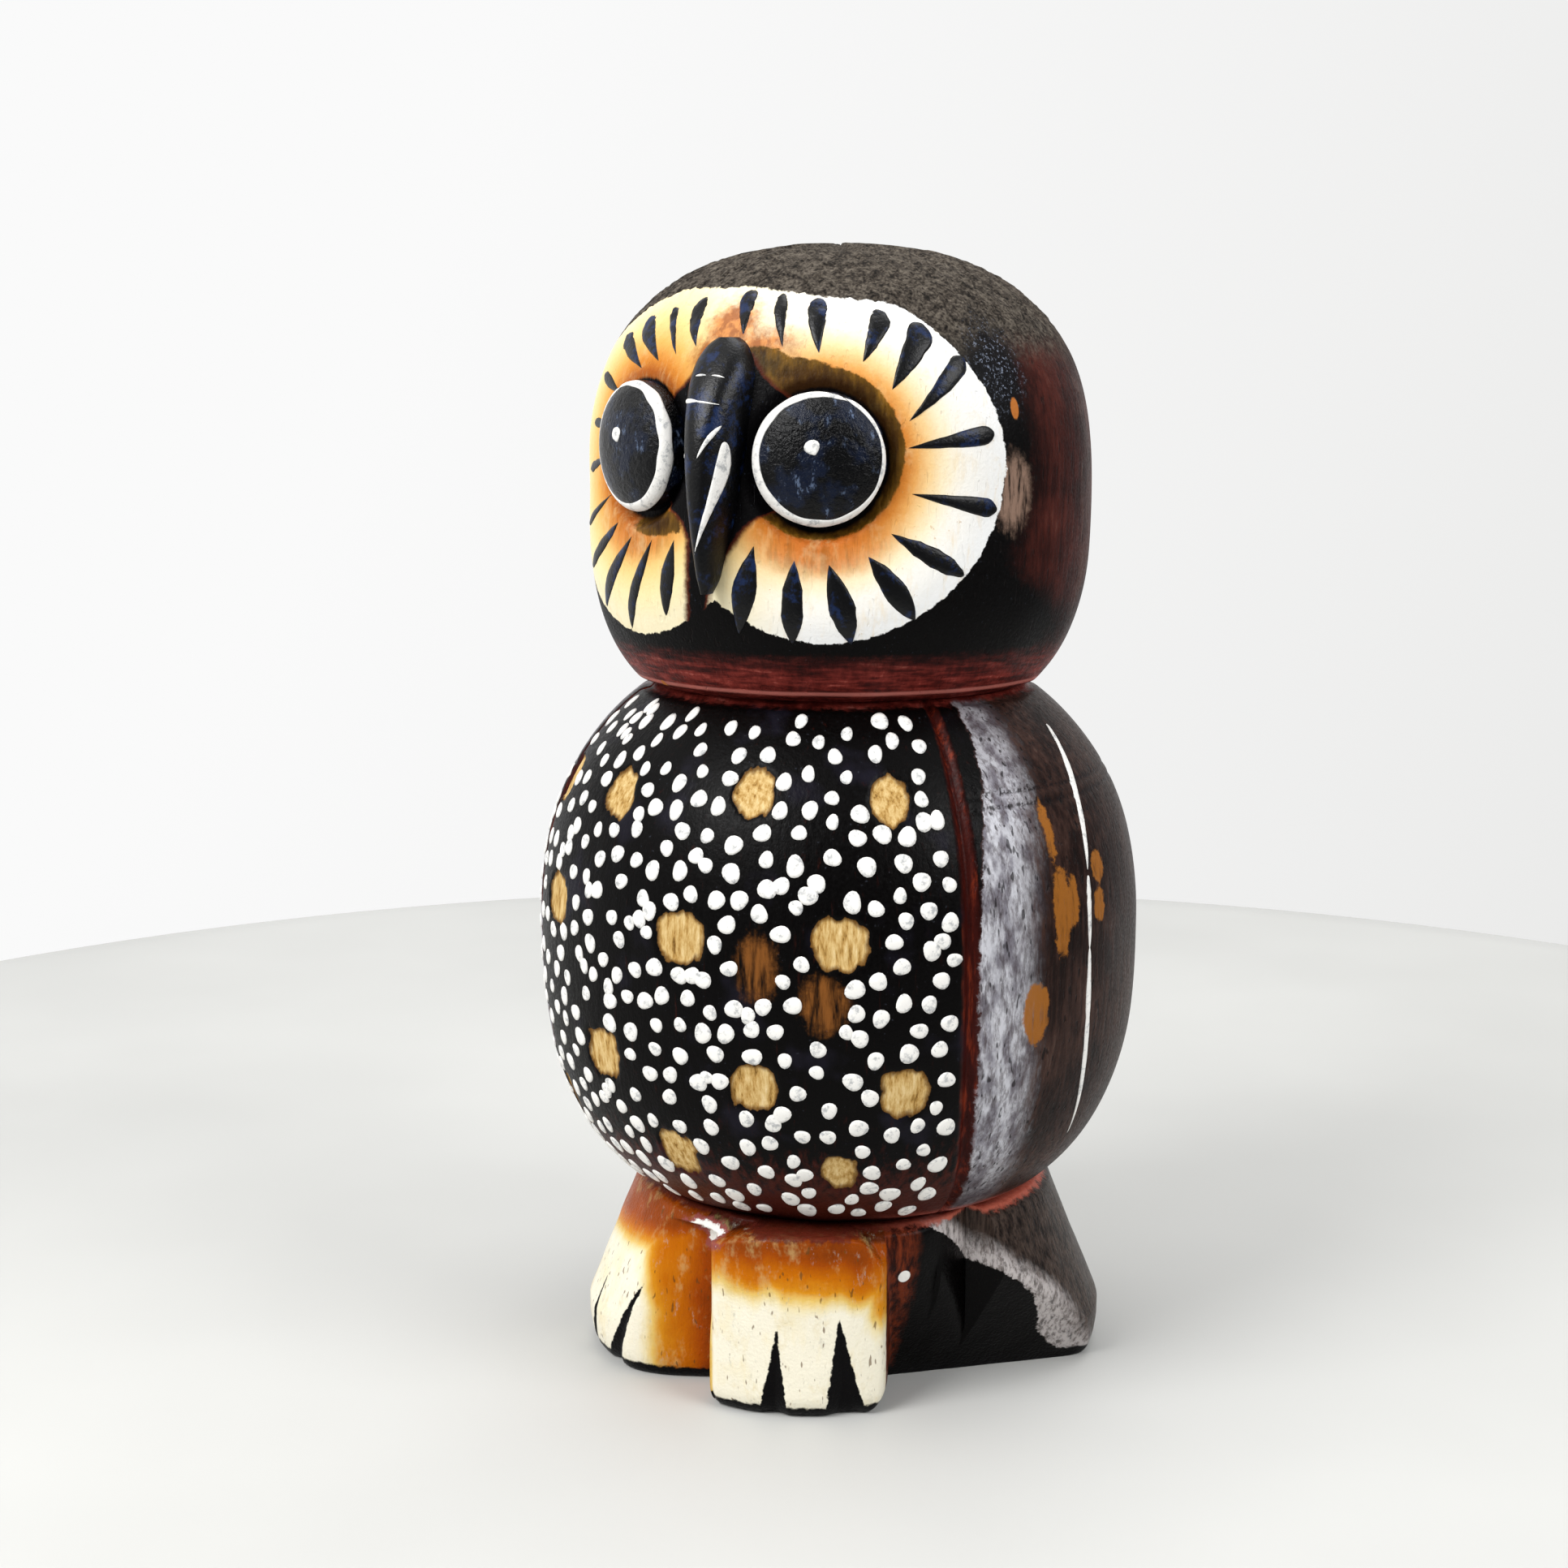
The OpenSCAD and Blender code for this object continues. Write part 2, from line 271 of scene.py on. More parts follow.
def bulge_heights(z_low, mid, up, down, low_rows, up_rows):
    """Heights of the rings of a turned bulge, even in the angle t where h = H sin(t)^(2/n)."""
    end = np.arcsin(((mid - z_low) / down[0]) ** (down[1] / 2))
    low = mid - down[0] * np.sin(np.linspace(end, 0, low_rows, endpoint=False)) ** (2 / down[1])
    high = mid + up[0] * np.sin(np.linspace(0, np.pi / 2, up_rows)) ** (2 / up[1])
    return np.concatenate([low, high])


def axis_distance(azimuth, z, at, up):
    """Distance in mm from a level axis at the azimuth `at` and the height `up`, seen along it."""
    across = HEAD_R * np.sin(np.radians(np.clip(azimuth - at, -90, 90)))
    return np.hypot(across, z - up)


def eye_distance(azimuth, z):
    """Distance in mm from the axis of the eye on the same side, seen along that axis."""
    return np.where(azimuth > 0, axis_distance(azimuth, z, *LEFT_EYE),
                    axis_distance(azimuth, z, *RIGHT_EYE))


def head_carving(azimuth, z):
    """Depth of carving on the head. The face is dished towards each eye, and the
    socket drops through a sloping wall to its flat floor. Slow ripples are knife facets, fine
    ones are rough end grain over the crown, and a rounded edge meets the neck."""
    around = np.radians(azimuth) * HEAD_R
    rho = eye_distance(azimuth, z)
    dish = -DISH * step_up(21, 10, rho) * (np.abs(azimuth) < 90)
    delta = np.radians(np.clip(np.abs(azimuth) - abs(LEFT_EYE[0]), -60, 60))
    h = np.clip(np.abs(z - HEAD_MID) / np.where(z > HEAD_MID, HEAD_UP[0], HEAD_DOWN[0]), 0, 1)
    power = np.where(z > HEAD_MID, HEAD_UP[1], HEAD_DOWN[1])
    surface = HEAD_R * (1 - h ** power) ** (1 / power)
    wall = step_up(SOCKET_R, SOCKET_MOUTH, rho)
    floor = SOCKET_FLOOR / np.cos(delta) - surface
    facets = FACET * ripples(around / 7 + 50, z / 9, 30, 1) - 0.1
    crown = step_up(136, 143, z + 2 * ripples(around / 6 + 40, z / 3, 35, 2))
    rough = crown * (0.16 * ripples(around * 1.1 + 200, z * 1.6, 232, 3)
                     + 0.12 * ripples(around * 2 + 300, z * 3, 422, 4) - 0.26)
    rim = -0.5 * step_up(0.9, 0, z - NECK_Z)
    carved = np.where(rho < SOCKET_MOUTH, wall * dish + (1 - wall) * floor, dish)
    return carved + facets * wall + rough + rim


def head_point(azimuth, z, lift):
    """Point on the carved head, standing `lift` off its surface."""
    return turned(azimuth, z, head_carving(azimuth, z) + lift, HEAD_R, HEAD_MID, HEAD_UP, HEAD_DOWN)


turn = np.linspace(-np.pi, np.pi, TURN_STEPS, endpoint=False)
head_turn = np.degrees(turn - 0.3 * np.sin(turn))
head_z = bulge_heights(NECK_Z, HEAD_MID, HEAD_UP, HEAD_DOWN, 88, 96)
azimuth, z = np.meshgrid(head_turn, head_z)
head_rings = head_point(azimuth, z, 0)
head_rings[-1] = [0, 0, head_rings[-2, :, 2].mean()]
under = head_rings[0][None] * [[[0]], [[0.5]], [[0.97]]]
under[..., 2] = NECK_Z
head_rings = np.concatenate([under, head_rings])
azimuth, z = [np.concatenate([np.repeat(grid[:1], 3, 0), grid]) for grid in (azimuth, z)]

# How far each point is inside the painted face, inside the black patch round the beak, and
# inside the olive cup painted round each eye.
lobe = FACE_R - axis_distance(np.abs(azimuth), z, FACE_AZIMUTH, FACE_Z)
brow = np.minimum(np.minimum(FACE_TOP - z, (FACE_AZIMUTH - np.abs(azimuth)) * 0.6), z - FACE_Z)
face = np.maximum(lobe, brow)
face = np.minimum(face, FACE_TOP - 0.055 * np.maximum(azimuth, 0) - z)
arc = np.radians(azimuth) * HEAD_R
nose_half = flow(z, [(99, 0.9), (102, 1), (106, 1.4), (109, 1.9), (111.7, 2.9), (114.2, 4.2), (116, 6.4),
                     (117.5, 10.5), (129.5, 11), (131.4, 7.4), (133.4, 5), (136, 2.5), (139, -9)])
nose = nose_half - np.abs(arc - flow(z, [(99, -3.7), (103, -3.3), (106, -2.4), (109, -1.8), (112, -0.8),
                                         (115, -0.4), (118, 0.4), (138, 0.4)]))
nose = np.where((z > 99) & (z < 139), nose, -9)
rise = np.arctan2(z - LEFT_EYE[1], arc - np.radians(LEFT_EYE[0]) * HEAD_R)
cup = np.where(azimuth > 0, 10.8 + 0.9 * np.sin(rise) - eye_distance(azimuth, z), -9)


def oval_depth(azimuth, z, marks, radius, power=2.0):
    """How deep a point is inside the nearest of some oval marks, in mm: less than 0 outside.
    Each mark has an azimuth, a height, a half width and a half height."""
    deep = np.full(azimuth.shape, -9.0)
    for at, up, wide, high in marks:
        across, rise = (azimuth - at) * radius * np.pi / 180 / wide, (z - up) / high
        spread = (np.abs(across) ** power + np.abs(rise) ** power) ** (1 / power)
        deep = np.maximum(deep, (1 - spread) * min(wide, high))
    return deep


head = skins(head_rings[None], "carved_head", {
    "face": face[None], "eye": eye_distance(azimuth, z)[None], "nose": nose[None],
    "patch": oval_depth(azimuth, z, ((68, 118.5, 3.2, 5), (-69, 119, 3, 4),
                                     (150, 122, 4, 6)), HEAD_R)[None],
    "chip": oval_depth(azimuth, z, ((69, 128.8, 0.7, 1.4), (-27.5, 93.3, 0.7, 0.6),
                                    (118, 112, 0.8, 1.2)), HEAD_R)[None],
    "glint": oval_depth(azimuth, z, ((66, 134, 6, 8), (-66, 134, 5, 7)), HEAD_R)[None],
    "brow": oval_depth(azimuth, z, ((0, 139, 4.6, 3.4), (8, 137, 6, 2),
                                    (-5, 135.5, 3, 2.4)), HEAD_R)[None],
    "cup": np.maximum(cup, oval_depth(azimuth, z, ((9, 134.6, 4.6, 2), (18, 133.6, 5.5, 1.8),
                                                   (-18, 114.6, 5.5, 1.7)), HEAD_R))[None],
    "turn": np.abs(azimuth)[None]})

# Oil-bound house paint brushed on bare wood: dead black and red-brown with vertical pores,
# a matt grey crown where the end grain drinks it, and a satin face shaded wet in wet from
# brown at the socket through orange and cream to white. All its edges are smooth steps.
SMOOTH = {"interpolation_type": "SMOOTHSTEP"}
head_paint, tree = finish("brushed_oil_paint_on_turned_wood")
place = add("TexCoord", out="Object")
marks = {name: add("Attribute", out="Fac", attribute_name=name)
         for name in ("turn", "face", "patch", "glint", "chip", "eye", "brow", "cup", "nose")}
height = add("SeparateXYZ", place, out="Z")
grain = add("TexNoise", add("Mapping", place, inputs={"Scale": (1, 1, 0.16)}), 1.1 / MM, 4, 0.65)
speck = add("TexNoise", place, 2.6 / MM, 2, 0.5)
blotch = add("TexNoise", place, 0.12 / MM, 3, 0.55)
field = add("TexNoise", add("Mapping", place, inputs={"Scale": (1, 1, 0.22)}), 1.6 / MM, 1, 0.5)
pore = add("MapRange", field, 0.66, 0.72, **SMOOTH)
ragged = add("Math", add("TexNoise", place, 0.9 / MM, 4, 0.7), 1.4, -0.7, operation="MULTIPLY_ADD")

blend = add("Math", grain, 0.5, add("Math", blotch, 0.55, operation="MULTIPLY"), operation="MULTIPLY_ADD")
side_tone = add("ValToRGB", blend,
                stops=[(0.3, "#120706"), (0.48, "#2d100c"), (0.64, "#4b2019"), (0.85, "#6a4337")])
# Painted glints: blue-grey specks through the black paint stand in for small gloss highlights.
amount = add("MapRange", speck, 0.66, 0.8, **SMOOTH)
black_tone = add("Mix", amount, "#040303", "#22242b", data_type="RGBA")
blend = add("Math", speck, 0.5,
            add("Math", add("TexNoise", place, 0.7 / MM, 3, 0.6), 0.5, operation="MULTIPLY"),
            operation="MULTIPLY_ADD")
crown_tone = add("ValToRGB", blend,
                 stops=[(0.38, "#15120f"), (0.48, "#39332d"), (0.6, "#5b544b"), (0.7, "#6d655b")])
ahead = marks["turn"]
near_face = add("Math", ragged, 2.5, marks["face"], operation="MULTIPLY_ADD")
field = add("Math", near_face, add("MapRange", height, 0.1, 0.112, 12, 0, **SMOOTH), operation="ADD")
amount = add("MapRange", field, -7, -2, **SMOOTH)
coat = add("Mix", amount, side_tone, black_tone, data_type="RGBA")
field = add("Math", ragged, 0.003, height, operation="MULTIPLY_ADD")
amount = add("MapRange", field, 0.133, 0.139, **SMOOTH)
coat = add("Mix", amount, coat, crown_tone, data_type="RGBA")
# Grey-brown over the grain on each side, from 80 to 100 degrees round: partly brush-worn paint, partly a
# painted grazing sheen.
field = add("Math", grain, add("MapRange", ahead, 80, 100, **SMOOTH), operation="MULTIPLY")
amount = add("MapRange", field, 0.4, 0.75, 0, 0.5, **SMOOTH)
coat = add("Mix", amount, coat, "#5b4f47", data_type="RGBA")
coat = add("Mix", add("Math", pore, 0.6, operation="MULTIPLY"), coat, "#0d0807", data_type="RGBA")
# Pale pinkish-brown patches over the grain, on each side and behind: worn paint and dry-brush, and on the
# sides also a painted gloss reflection.
field = add("Math", ragged, 2.2, marks["patch"], operation="MULTIPLY_ADD")
worn_and_sheen = add("MapRange", field, -0.6, 1.6, **SMOOTH)
amount = add("Math", worn_and_sheen, add("MapRange", grain, 0.35, 0.55, **SMOOTH), operation="MULTIPLY")
coat = add("Mix", amount, coat, "#8d7262", data_type="RGBA")
# Painted glints: blue-grey specks in an oval high on each side of the head stand in for gloss highlights.
field = add("Math", ragged, 3, marks["glint"], operation="MULTIPLY_ADD")
amount = add("MapRange", field, 0, 4, 0, 0.9, **SMOOTH)
field = add("MapRange", add("TexNoise", place, 2.2 / MM, 3, 0.75), 0.55, 0.66, **SMOOTH)
tones = add("Mix", field, "#0a0a0d", "#757d8d", data_type="RGBA")
coat = add("Mix", amount, coat, tones, data_type="RGBA")
field = add("Math", ragged, 0.0016, height, operation="MULTIPLY_ADD")
band = add("MapRange", field, 0.0955, 0.0992, 1, 0, **SMOOTH)
scored = add("TexNoise", add("Mapping", place, inputs={"Scale": (0.12, 0.12, 1)}), 1.6 / MM, 3, 0.6)
blend = add("Math", grain, 0.3, add("Math", scored, 0.7, operation="MULTIPLY"), operation="MULTIPLY_ADD")
red = add("ValToRGB", blend,
          stops=[(0.34, "#230a09"), (0.48, "#551b17"), (0.6, "#7f3029"), (0.74, "#b8665a")])
# Painted highlight: a thin pale pink line at 93.6 mm, low on the red neck band, stands in for the light
# caught by the rounded rim over the joint.
field = add("Math", add("Math", height, 0.0936, operation="SUBTRACT"), operation="ABSOLUTE")
amount = add("MapRange", field, 0.0001, 0.0004, 0.75, 0, **SMOOTH)
red = add("Mix", amount, red, "#c9776c", data_type="RGBA")
coat = add("Mix", band, coat, red, data_type="RGBA")
coat = add("Mix", add("MapRange", marks["chip"], -0.05, 0.1, **SMOOTH), coat, "#b26a2f", data_type="RGBA")

# The face is shaded by the distance from the eye, cream on one lobe and white on the other.
eye_ring = add("Math", ragged, 0.9, marks["eye"], operation="MULTIPLY_ADD")
across = add("SeparateXYZ", place, out="X")
shade = add("Math", add("Math", eye_ring, 10, operation="SUBTRACT"), 12, operation="DIVIDE")
white_lobe = add("ValToRGB", shade, stops=[
    (0, "#a85c1c"), (0.1, "#cb7f34"), (0.2, "#dfa25a"), (0.32, "#ecc88e"),
    (0.47, "#f1e2c0"), (0.64, "#f0ece2"), (1, "#f1f1ef")])
cream_lobe = add("ValToRGB", shade, stops=[
    (0, "#a05416"), (0.12, "#c67c2c"), (0.3, "#dca656"), (0.5, "#e6c480"),
    (0.72, "#ebd8a4"), (1, "#ede2be")])
amount = add("MapRange", across, 0.0, 0.012, **SMOOTH)
face_tone = add("Mix", amount, cream_lobe, white_lobe, data_type="RGBA")
flush = add("Math", add("MapRange", height, 0.108, 0.117, 1, 0, **SMOOTH),
            add("MapRange", eye_ring, 12.5, 15.5, 1, 0, **SMOOTH), operation="MULTIPLY")
amount = add("Math", flush, 0.75, operation="MULTIPLY")
tones = add("Mix", add("MapRange", grain, 0.4, 0.6, **SMOOTH), "#7c3010", "#c0602c", data_type="RGBA")
face_tone = add("Mix", amount, face_tone, tones, data_type="RGBA")
streak = add("TexNoise", add("Mapping", place, inputs={"Scale": (1, 1, 0.25)}), 0.9 / MM, 3, 0.6)
amount = add("MapRange", streak, 0.5, 0.8, 0, 0.35, **SMOOTH)
face_tone = add("Mix", amount, face_tone, "#e2c48a", data_type="RGBA")
amount = add("MapRange", add("TexNoise", place, 0.22 / MM, 4, 0.65), 0.55, 0.72, 0, 0.3, **SMOOTH)
face_tone = add("Mix", amount, face_tone, "#e0c896", data_type="RGBA")
amount = add("MapRange", add("TexNoise", place, 1.3 / MM, 3, 0.7), 0.66, 0.74, 0, 0.6, **SMOOTH)
face_tone = add("Mix", amount, face_tone, "#b9925a", data_type="RGBA")
# A brown scrape over the brow, the olive cups, the black sockets, and the black round the beak.
field = add("Math", ragged, 2.6, marks["brow"], operation="MULTIPLY_ADD")
browed = add("MapRange", field, -1.2, 1.8, **SMOOTH)
amount = add("Math", browed, 0.9, operation="MULTIPLY")
tones = add("Mix", add("MapRange", streak, 0.4, 0.62, **SMOOTH), "#93480f", "#c87c3c", data_type="RGBA")
face_tone = add("Mix", amount, face_tone, tones, data_type="RGBA")
cupped = add("Math", ragged, 0.7, marks["cup"], operation="MULTIPLY_ADD")
blend = add("Math", streak, 0.7, add("Math", cupped, -7, operation="DIVIDE"), operation="MULTIPLY_ADD")
olive = add("ValToRGB", blend,
            stops=[(0.05, "#140e04"), (0.2, "#33240a"), (0.36, "#5b400f"), (0.48, "#7d5614")])
amount = add("MapRange", cupped, -0.12, 0.15, 0, 0.95, **SMOOTH)
face_tone = add("Mix", amount, face_tone, olive, data_type="RGBA")
field = add("Math", ragged, 0.5, marks["eye"], operation="MULTIPLY_ADD")
socket = add("MapRange", field, 8.9, 9.4, 1, 0, **SMOOTH)
face_tone = add("Mix", socket, face_tone, "#050405", data_type="RGBA")
nose_edge = add("Math", ragged, 0.9, marks["nose"], operation="MULTIPLY_ADD")
amount = add("MapRange", nose_edge, -1.2, -0.1, **SMOOTH)
face_tone = add("Mix", amount, face_tone, "#4a1e10", data_type="RGBA")
# The black round the beak, with blue-grey specks painted as glints.
amount = add("MapRange", nose_edge, -0.2, 0.3, **SMOOTH)
tones = add("Mix", add("MapRange", speck, 0.66, 0.8, **SMOOTH), "#040304", "#2a2f3b", data_type="RGBA")
face_tone = add("Mix", amount, face_tone, tones, data_type="RGBA")
field = add("Math", ragged, 0.8, marks["face"], operation="MULTIPLY_ADD")
face_edge = add("MapRange", field, -0.08, 0.08, **SMOOTH)
colour = add("Mix", face_edge, coat, face_tone, data_type="RGBA")

# The crown is matt, pores are pits, and the rest is satin with a soft brush grain.
matt = add("Math", add("MapRange", height, 0.132, 0.14, **SMOOTH),
           add("Math", 1, face_edge, operation="SUBTRACT"), operation="MULTIPLY")
shine = add("Math", matt, 0.35, add("MapRange", speck, 0.2, 0.8, 0.36, 0.56, **SMOOTH),
            operation="MULTIPLY_ADD")
relief = add("Math", speck, 0.5, add("Math", grain, 0.7, operation="MULTIPLY"), operation="MULTIPLY_ADD")
relief = add("Math", relief, add("Math", pore, 0.8, operation="MULTIPLY"), operation="SUBTRACT")
relief = add("Math", matt, add("TexNoise", place, 1.5 / MM, 4, 0.7), relief, operation="MULTIPLY_ADD")
raised = add("Bump", inputs={"Height": relief, "Strength": 0.45, "Distance": 0.00025})
paint = add("BsdfPrincipled", inputs={
    "Base Color": colour, "Roughness": shine, "Specular IOR Level": 0.07, "Normal": raised})
add("OutputMaterial", paint)
head.data.materials.append(head_paint)
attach(head, "root")
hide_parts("head")

# ---------------------------------------------------------------- rays of the face
# Short brush strokes in thick black oil paint round each half of the face. Each starts
# fat at the rim and is flicked out to a point towards the eye.
RAY_LIFT = 0.16
RAYS = (  # outer end and inner end, each an azimuth and a height, then the half width
    (1.5, 143.4, 3.5, 137.9, 1.7), (11, 142.9, 14.5, 136.6, 1.35), (22, 142.4, 23, 136, 1.95),
    (39.5, 140.6, 33, 134.8, 2.05), (48.5, 138.9, 40, 131.4, 2.4), (57.5, 135, 43, 127.5, 1.7),
    (62.5, 125.8, 43, 124.2, 1.6), (63.5, 116.5, 43.5, 118.6, 1.5), (55, 108.6, 39.5, 113.8, 1.4),
    (45, 103.2, 34, 111, 1.6), (30.5, 100.2, 26, 110, 1.65), (17.2, 100.2, 18.5, 110.5, 1.5),
    (4.8, 101.3, 9.5, 112.2, 1.55),
    (-15.5, 142.6, -9, 136.6, 1.8), (-26, 141.6, -15.5, 135.8, 1.05), (-36.5, 140.3, -23, 135.2, 1.75),
    (-44, 138, -29, 134.2, 1.45), (-50.5, 133, -37, 130.8, 1.1), (-53, 126.8, -42, 126.8, 1),
    (-54, 120.6, -42.5, 122.4, 0.95), (-53, 113.4, -38.5, 117.6, 0.9), (-49, 107.8, -34, 114.2, 1.05),
    (-41.5, 103, -27, 112.6, 1.15), (-29, 100.7, -19, 112.4, 1.05), (-14.6, 103, -11, 112.6, 1.25))


def strokes(surface, scale, paths, half, lift, sink=0.12, around=10):
    """Rings of closed brush strokes. The paths (stroke, station, uv) run over a surface whose
    u has `scale` mm to the unit. At each station the section is a lens, as wide as the
    path's half width on both sides, that stands `lift` proud and reaches `sink` under."""
    u, v = paths[..., 0], paths[..., 1]
    along_u, along_v = np.gradient(u, axis=1) * scale, np.gradient(v, axis=1)
    length = np.maximum(np.hypot(along_u, along_v), 1e-9)
    angle = np.linspace(0, 2 * np.pi, around, endpoint=False)
    side = half[..., None] * np.cos(angle)
    proud = np.sin(angle) * np.where(np.sin(angle) > 0, 1, sink / lift)
    ends = np.ones(u.shape[1])
    ends[[0, -1]] = 0
    stand = lift * proud * ends[:, None] * np.minimum(1, half[..., None] / (2 * lift))
    return surface(u[..., None] - side * (along_v / length)[..., None] / scale,
                   v[..., None] + side * (along_u / length)[..., None], stand)


def stations(count):
    """Places from 0 to 1 that crowd towards both ends, as (1 - cos t) / 2."""
    return (1 - np.cos(np.linspace(0, np.pi, count))) / 2


outer_az, outer_z, inner_az, inner_z, wide = np.array(RAYS).T[..., None]
t = stations(21)[None]
fall = step_up(112, 106, outer_z)
sway = 0.3 * np.sin(3 * t + outer_az)
ray_az = inner_az + (outer_az - inner_az) * t + sway
ray_z = inner_z + (outer_z - inner_z) * t
belly = t ** 0.85 * (1 - t ** 7) ** 0.5 * (1 - fall) + fall * np.sin(np.pi * t ** 1.15) ** 0.8
frayed = 1 + 0.14 * ripples(t * 9 + 1, outer_az + 200, 12, 7)
ray_half = np.maximum(wide * belly * frayed, 0.02) * (t > 0) * (t < 1)
rays = skins(strokes(head_point, HEAD_R * np.pi / 180, np.stack([ray_az, ray_z], -1),
                     ray_half, RAY_LIFT), "face_rays")

# Thick black oil paint with a soft gloss, mottled with a painted navy sheen.
ray_paint, tree = finish("thick_black_oil_paint")
place = add("TexCoord", out="Object")
navy_sheen = add("MapRange", add("TexNoise", place, 0.35 / MM, 4, 0.7), 0.5, 0.64, 0, 0.85, **SMOOTH)
tone = add("Mix", navy_sheen, "#040405", "#122448", data_type="RGBA")
raised = add("Bump", inputs={"Height": add("TexNoise", place, 2.2 / MM, 3, 0.6), "Strength": 0.35,
                             "Distance": 0.0002})
paint = add("BsdfPrincipled",
            inputs={"Base Color": tone, "Roughness": 0.33, "Specular IOR Level": 0.25, "Normal": raised})
add("OutputMaterial", paint)
rays.data.materials.append(ray_paint)
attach(rays, "root")

# ---------------------------------------------------------------- eyes
# Two turned wooden buttons glued into the sockets by a spigot, dipped in gloss black.
# Each has a white ring brushed round its rim and a dab of cream for the light.
EYE_R = 8.2
EYE_DOME = 3.0
EYE_BACK = 28.5
EYE_RIM = 31.7
SPIGOT = (3, 22)
dome_angle = np.linspace(0, np.pi / 2, 15)
eye_outline = np.concatenate([
    np.stack([EYE_R * np.cos(dome_angle), EYE_RIM + EYE_DOME * np.sin(dome_angle)], -1)[::-1],
    [[EYE_R, EYE_RIM - 1], [EYE_R, EYE_BACK + 0.3], [EYE_R - 0.3, EYE_BACK],
     [SPIGOT[0], EYE_BACK], [SPIGOT[0], SPIGOT[1] + 0.3], [SPIGOT[0] - 0.3, SPIGOT[1]], [0, SPIGOT[1]]]])
outline_run = np.concatenate([[0], np.cumsum(np.hypot(*np.diff(eye_outline, axis=0).T))])
front_rim = outline_run[14]


def eye_surface(azimuth, height):
    """Surface of the eye whose axis is at that azimuth and height. There u is the turn about
    the axis in degrees, anticlockwise, and v is minus the run along the outline from the
    middle of the dome."""
    ahead, right = direction(azimuth, 0), direction(azimuth + 90, 0)

    def point(u, v, lift):
        run = np.clip(-v, 0, outline_run[-1])
        r, out = [np.interp(run, outline_run, eye_outline[:, i]) for i in (0, 1)]
        dr, dout = [np.interp(run, outline_run, np.gradient(eye_outline[:, i], outline_run))
                    for i in (0, 1)]
        size = np.maximum(np.hypot(dr, dout), 1e-9)
        r, out = r - lift * dout / size, out + lift * dr / size
        a = np.radians(u)
        spread = r * np.cos(a)
        return (spread[..., None] * right + out[..., None] * ahead
                + np.stack([0 * r, 0 * r, height + r * np.sin(a)], -1))
    return point


# Piano-black enamel, dipped: almost a mirror, over the faint flats left by the chisel. A painted
# reflection runs through its colour: navy clouds, with blue-grey streaks inside them.
eye_gloss, tree = finish("dipped_gloss_black_enamel")
place = add("TexCoord", out="Object")
mottle_and_reflection = add("MapRange", add("TexNoise", place, 0.2 / MM, 3, 0.6), 0.5, 0.62, **SMOOTH)
tone = add("Mix", add("Math", mottle_and_reflection, 0.6, operation="MULTIPLY"), "#020203", "#101a30", data_type="RGBA")
# The blue-grey streaks of the painted reflection.
amount = add("Math", mottle_and_reflection, add("MapRange", add(
                                    "TexNoise", add("Mapping", place, inputs={"Scale": (1, 1, 0.4)}),
                                    1.1 / MM, 4, 0.75), 0.56, 0.66, **SMOOTH), operation="MULTIPLY")
tone = add("Mix", amount, tone, "#56647c", data_type="RGBA")
raised = add("Bump", inputs={"Height": add("TexNoise", place, 1 / MM, 4, 0.7), "Strength": 0.6,
                             "Distance": 0.0005})
paint = add("BsdfPrincipled",
            inputs={"Base Color": tone, "Roughness": 0.22, "Specular IOR Level": 0.2, "Normal": raised})
add("OutputMaterial", paint)

# White oil paint laid thick with a small brush: bright on its ridges, grey where it is thin.
thick_white, tree = finish("thick_white_oil_paint")
place = add("TexCoord", out="Object")
amount = add("MapRange", add("TexNoise", place, 0.9 / MM, 4, 0.7), 0.5, 0.68, 0, 0.75, **SMOOTH)
tone = add("Mix", amount, "#eceae5", "#94979a", data_type="RGBA")
raised = add("Bump", inputs={"Height": add("TexNoise", place, 2.5 / MM, 3, 0.6), "Strength": 0.4,
                             "Distance": 0.0002})
paint = add("BsdfPrincipled",
            inputs={"Base Color": tone, "Roughness": 0.42, "Specular IOR Level": 0.3, "Normal": raised})
add("OutputMaterial", paint)

eye_rings = []
light_dabs = []
for name, place_at, start, thick, thin_at in (("left_eye", LEFT_EYE, 62, 0.56, 25),
                                              ("right_eye", RIGHT_EYE, 110, 0.66, 165)):
    surface = eye_surface(*place_at)
    u, v = np.meshgrid(np.arange(0, 360, 4.5), -np.concatenate(
        [outline_run[:14:-1], np.linspace(outline_run[14], 0, 22)]))
    eye = skins(surface(u, v, 0 * u)[None], name + "_button")
    eye.data.materials.append(eye_gloss)
    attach(eye, "root")
    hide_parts(name)
    t = np.linspace(0, 1, 97)
    ring_u = start + 366 * t
    half = thick * (1 - 0.5 * np.cos(np.radians(ring_u - thin_at))
                    + 0.2 * ripples(t * 23, t * 0 + start, 97, 9))
    half = half * step_up(0, 0.03, t) * step_up(1, 0.97, t)
    ring_v = -(front_rim - 1.15 + 0.12 * np.cos(np.radians(ring_u - thin_at)) + 0.25 * t)
    eye_rings.append(strokes(surface, 7.8 * np.pi / 180, np.stack([ring_u, ring_v], -1)[None],
                             half[None], 0.13, around=12))
    t = stations(9)
    dab_u = np.full(9, 112.0)
    dab_v = -2.5 + 1.9 * t
    light_dabs.append(strokes(surface, 1.6 * np.pi / 180, np.stack([dab_u, dab_v], -1)[None],
                              (0.95 * np.sqrt(1 - (2 * t - 1) ** 2))[None], 0.2, around=14))
for name, parts in (("eye_rings", eye_rings), ("eye_lights", light_dabs)):
    piece = skins(np.concatenate(parts), name)
    piece.data.materials.append(thick_white)
    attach(piece, "root")

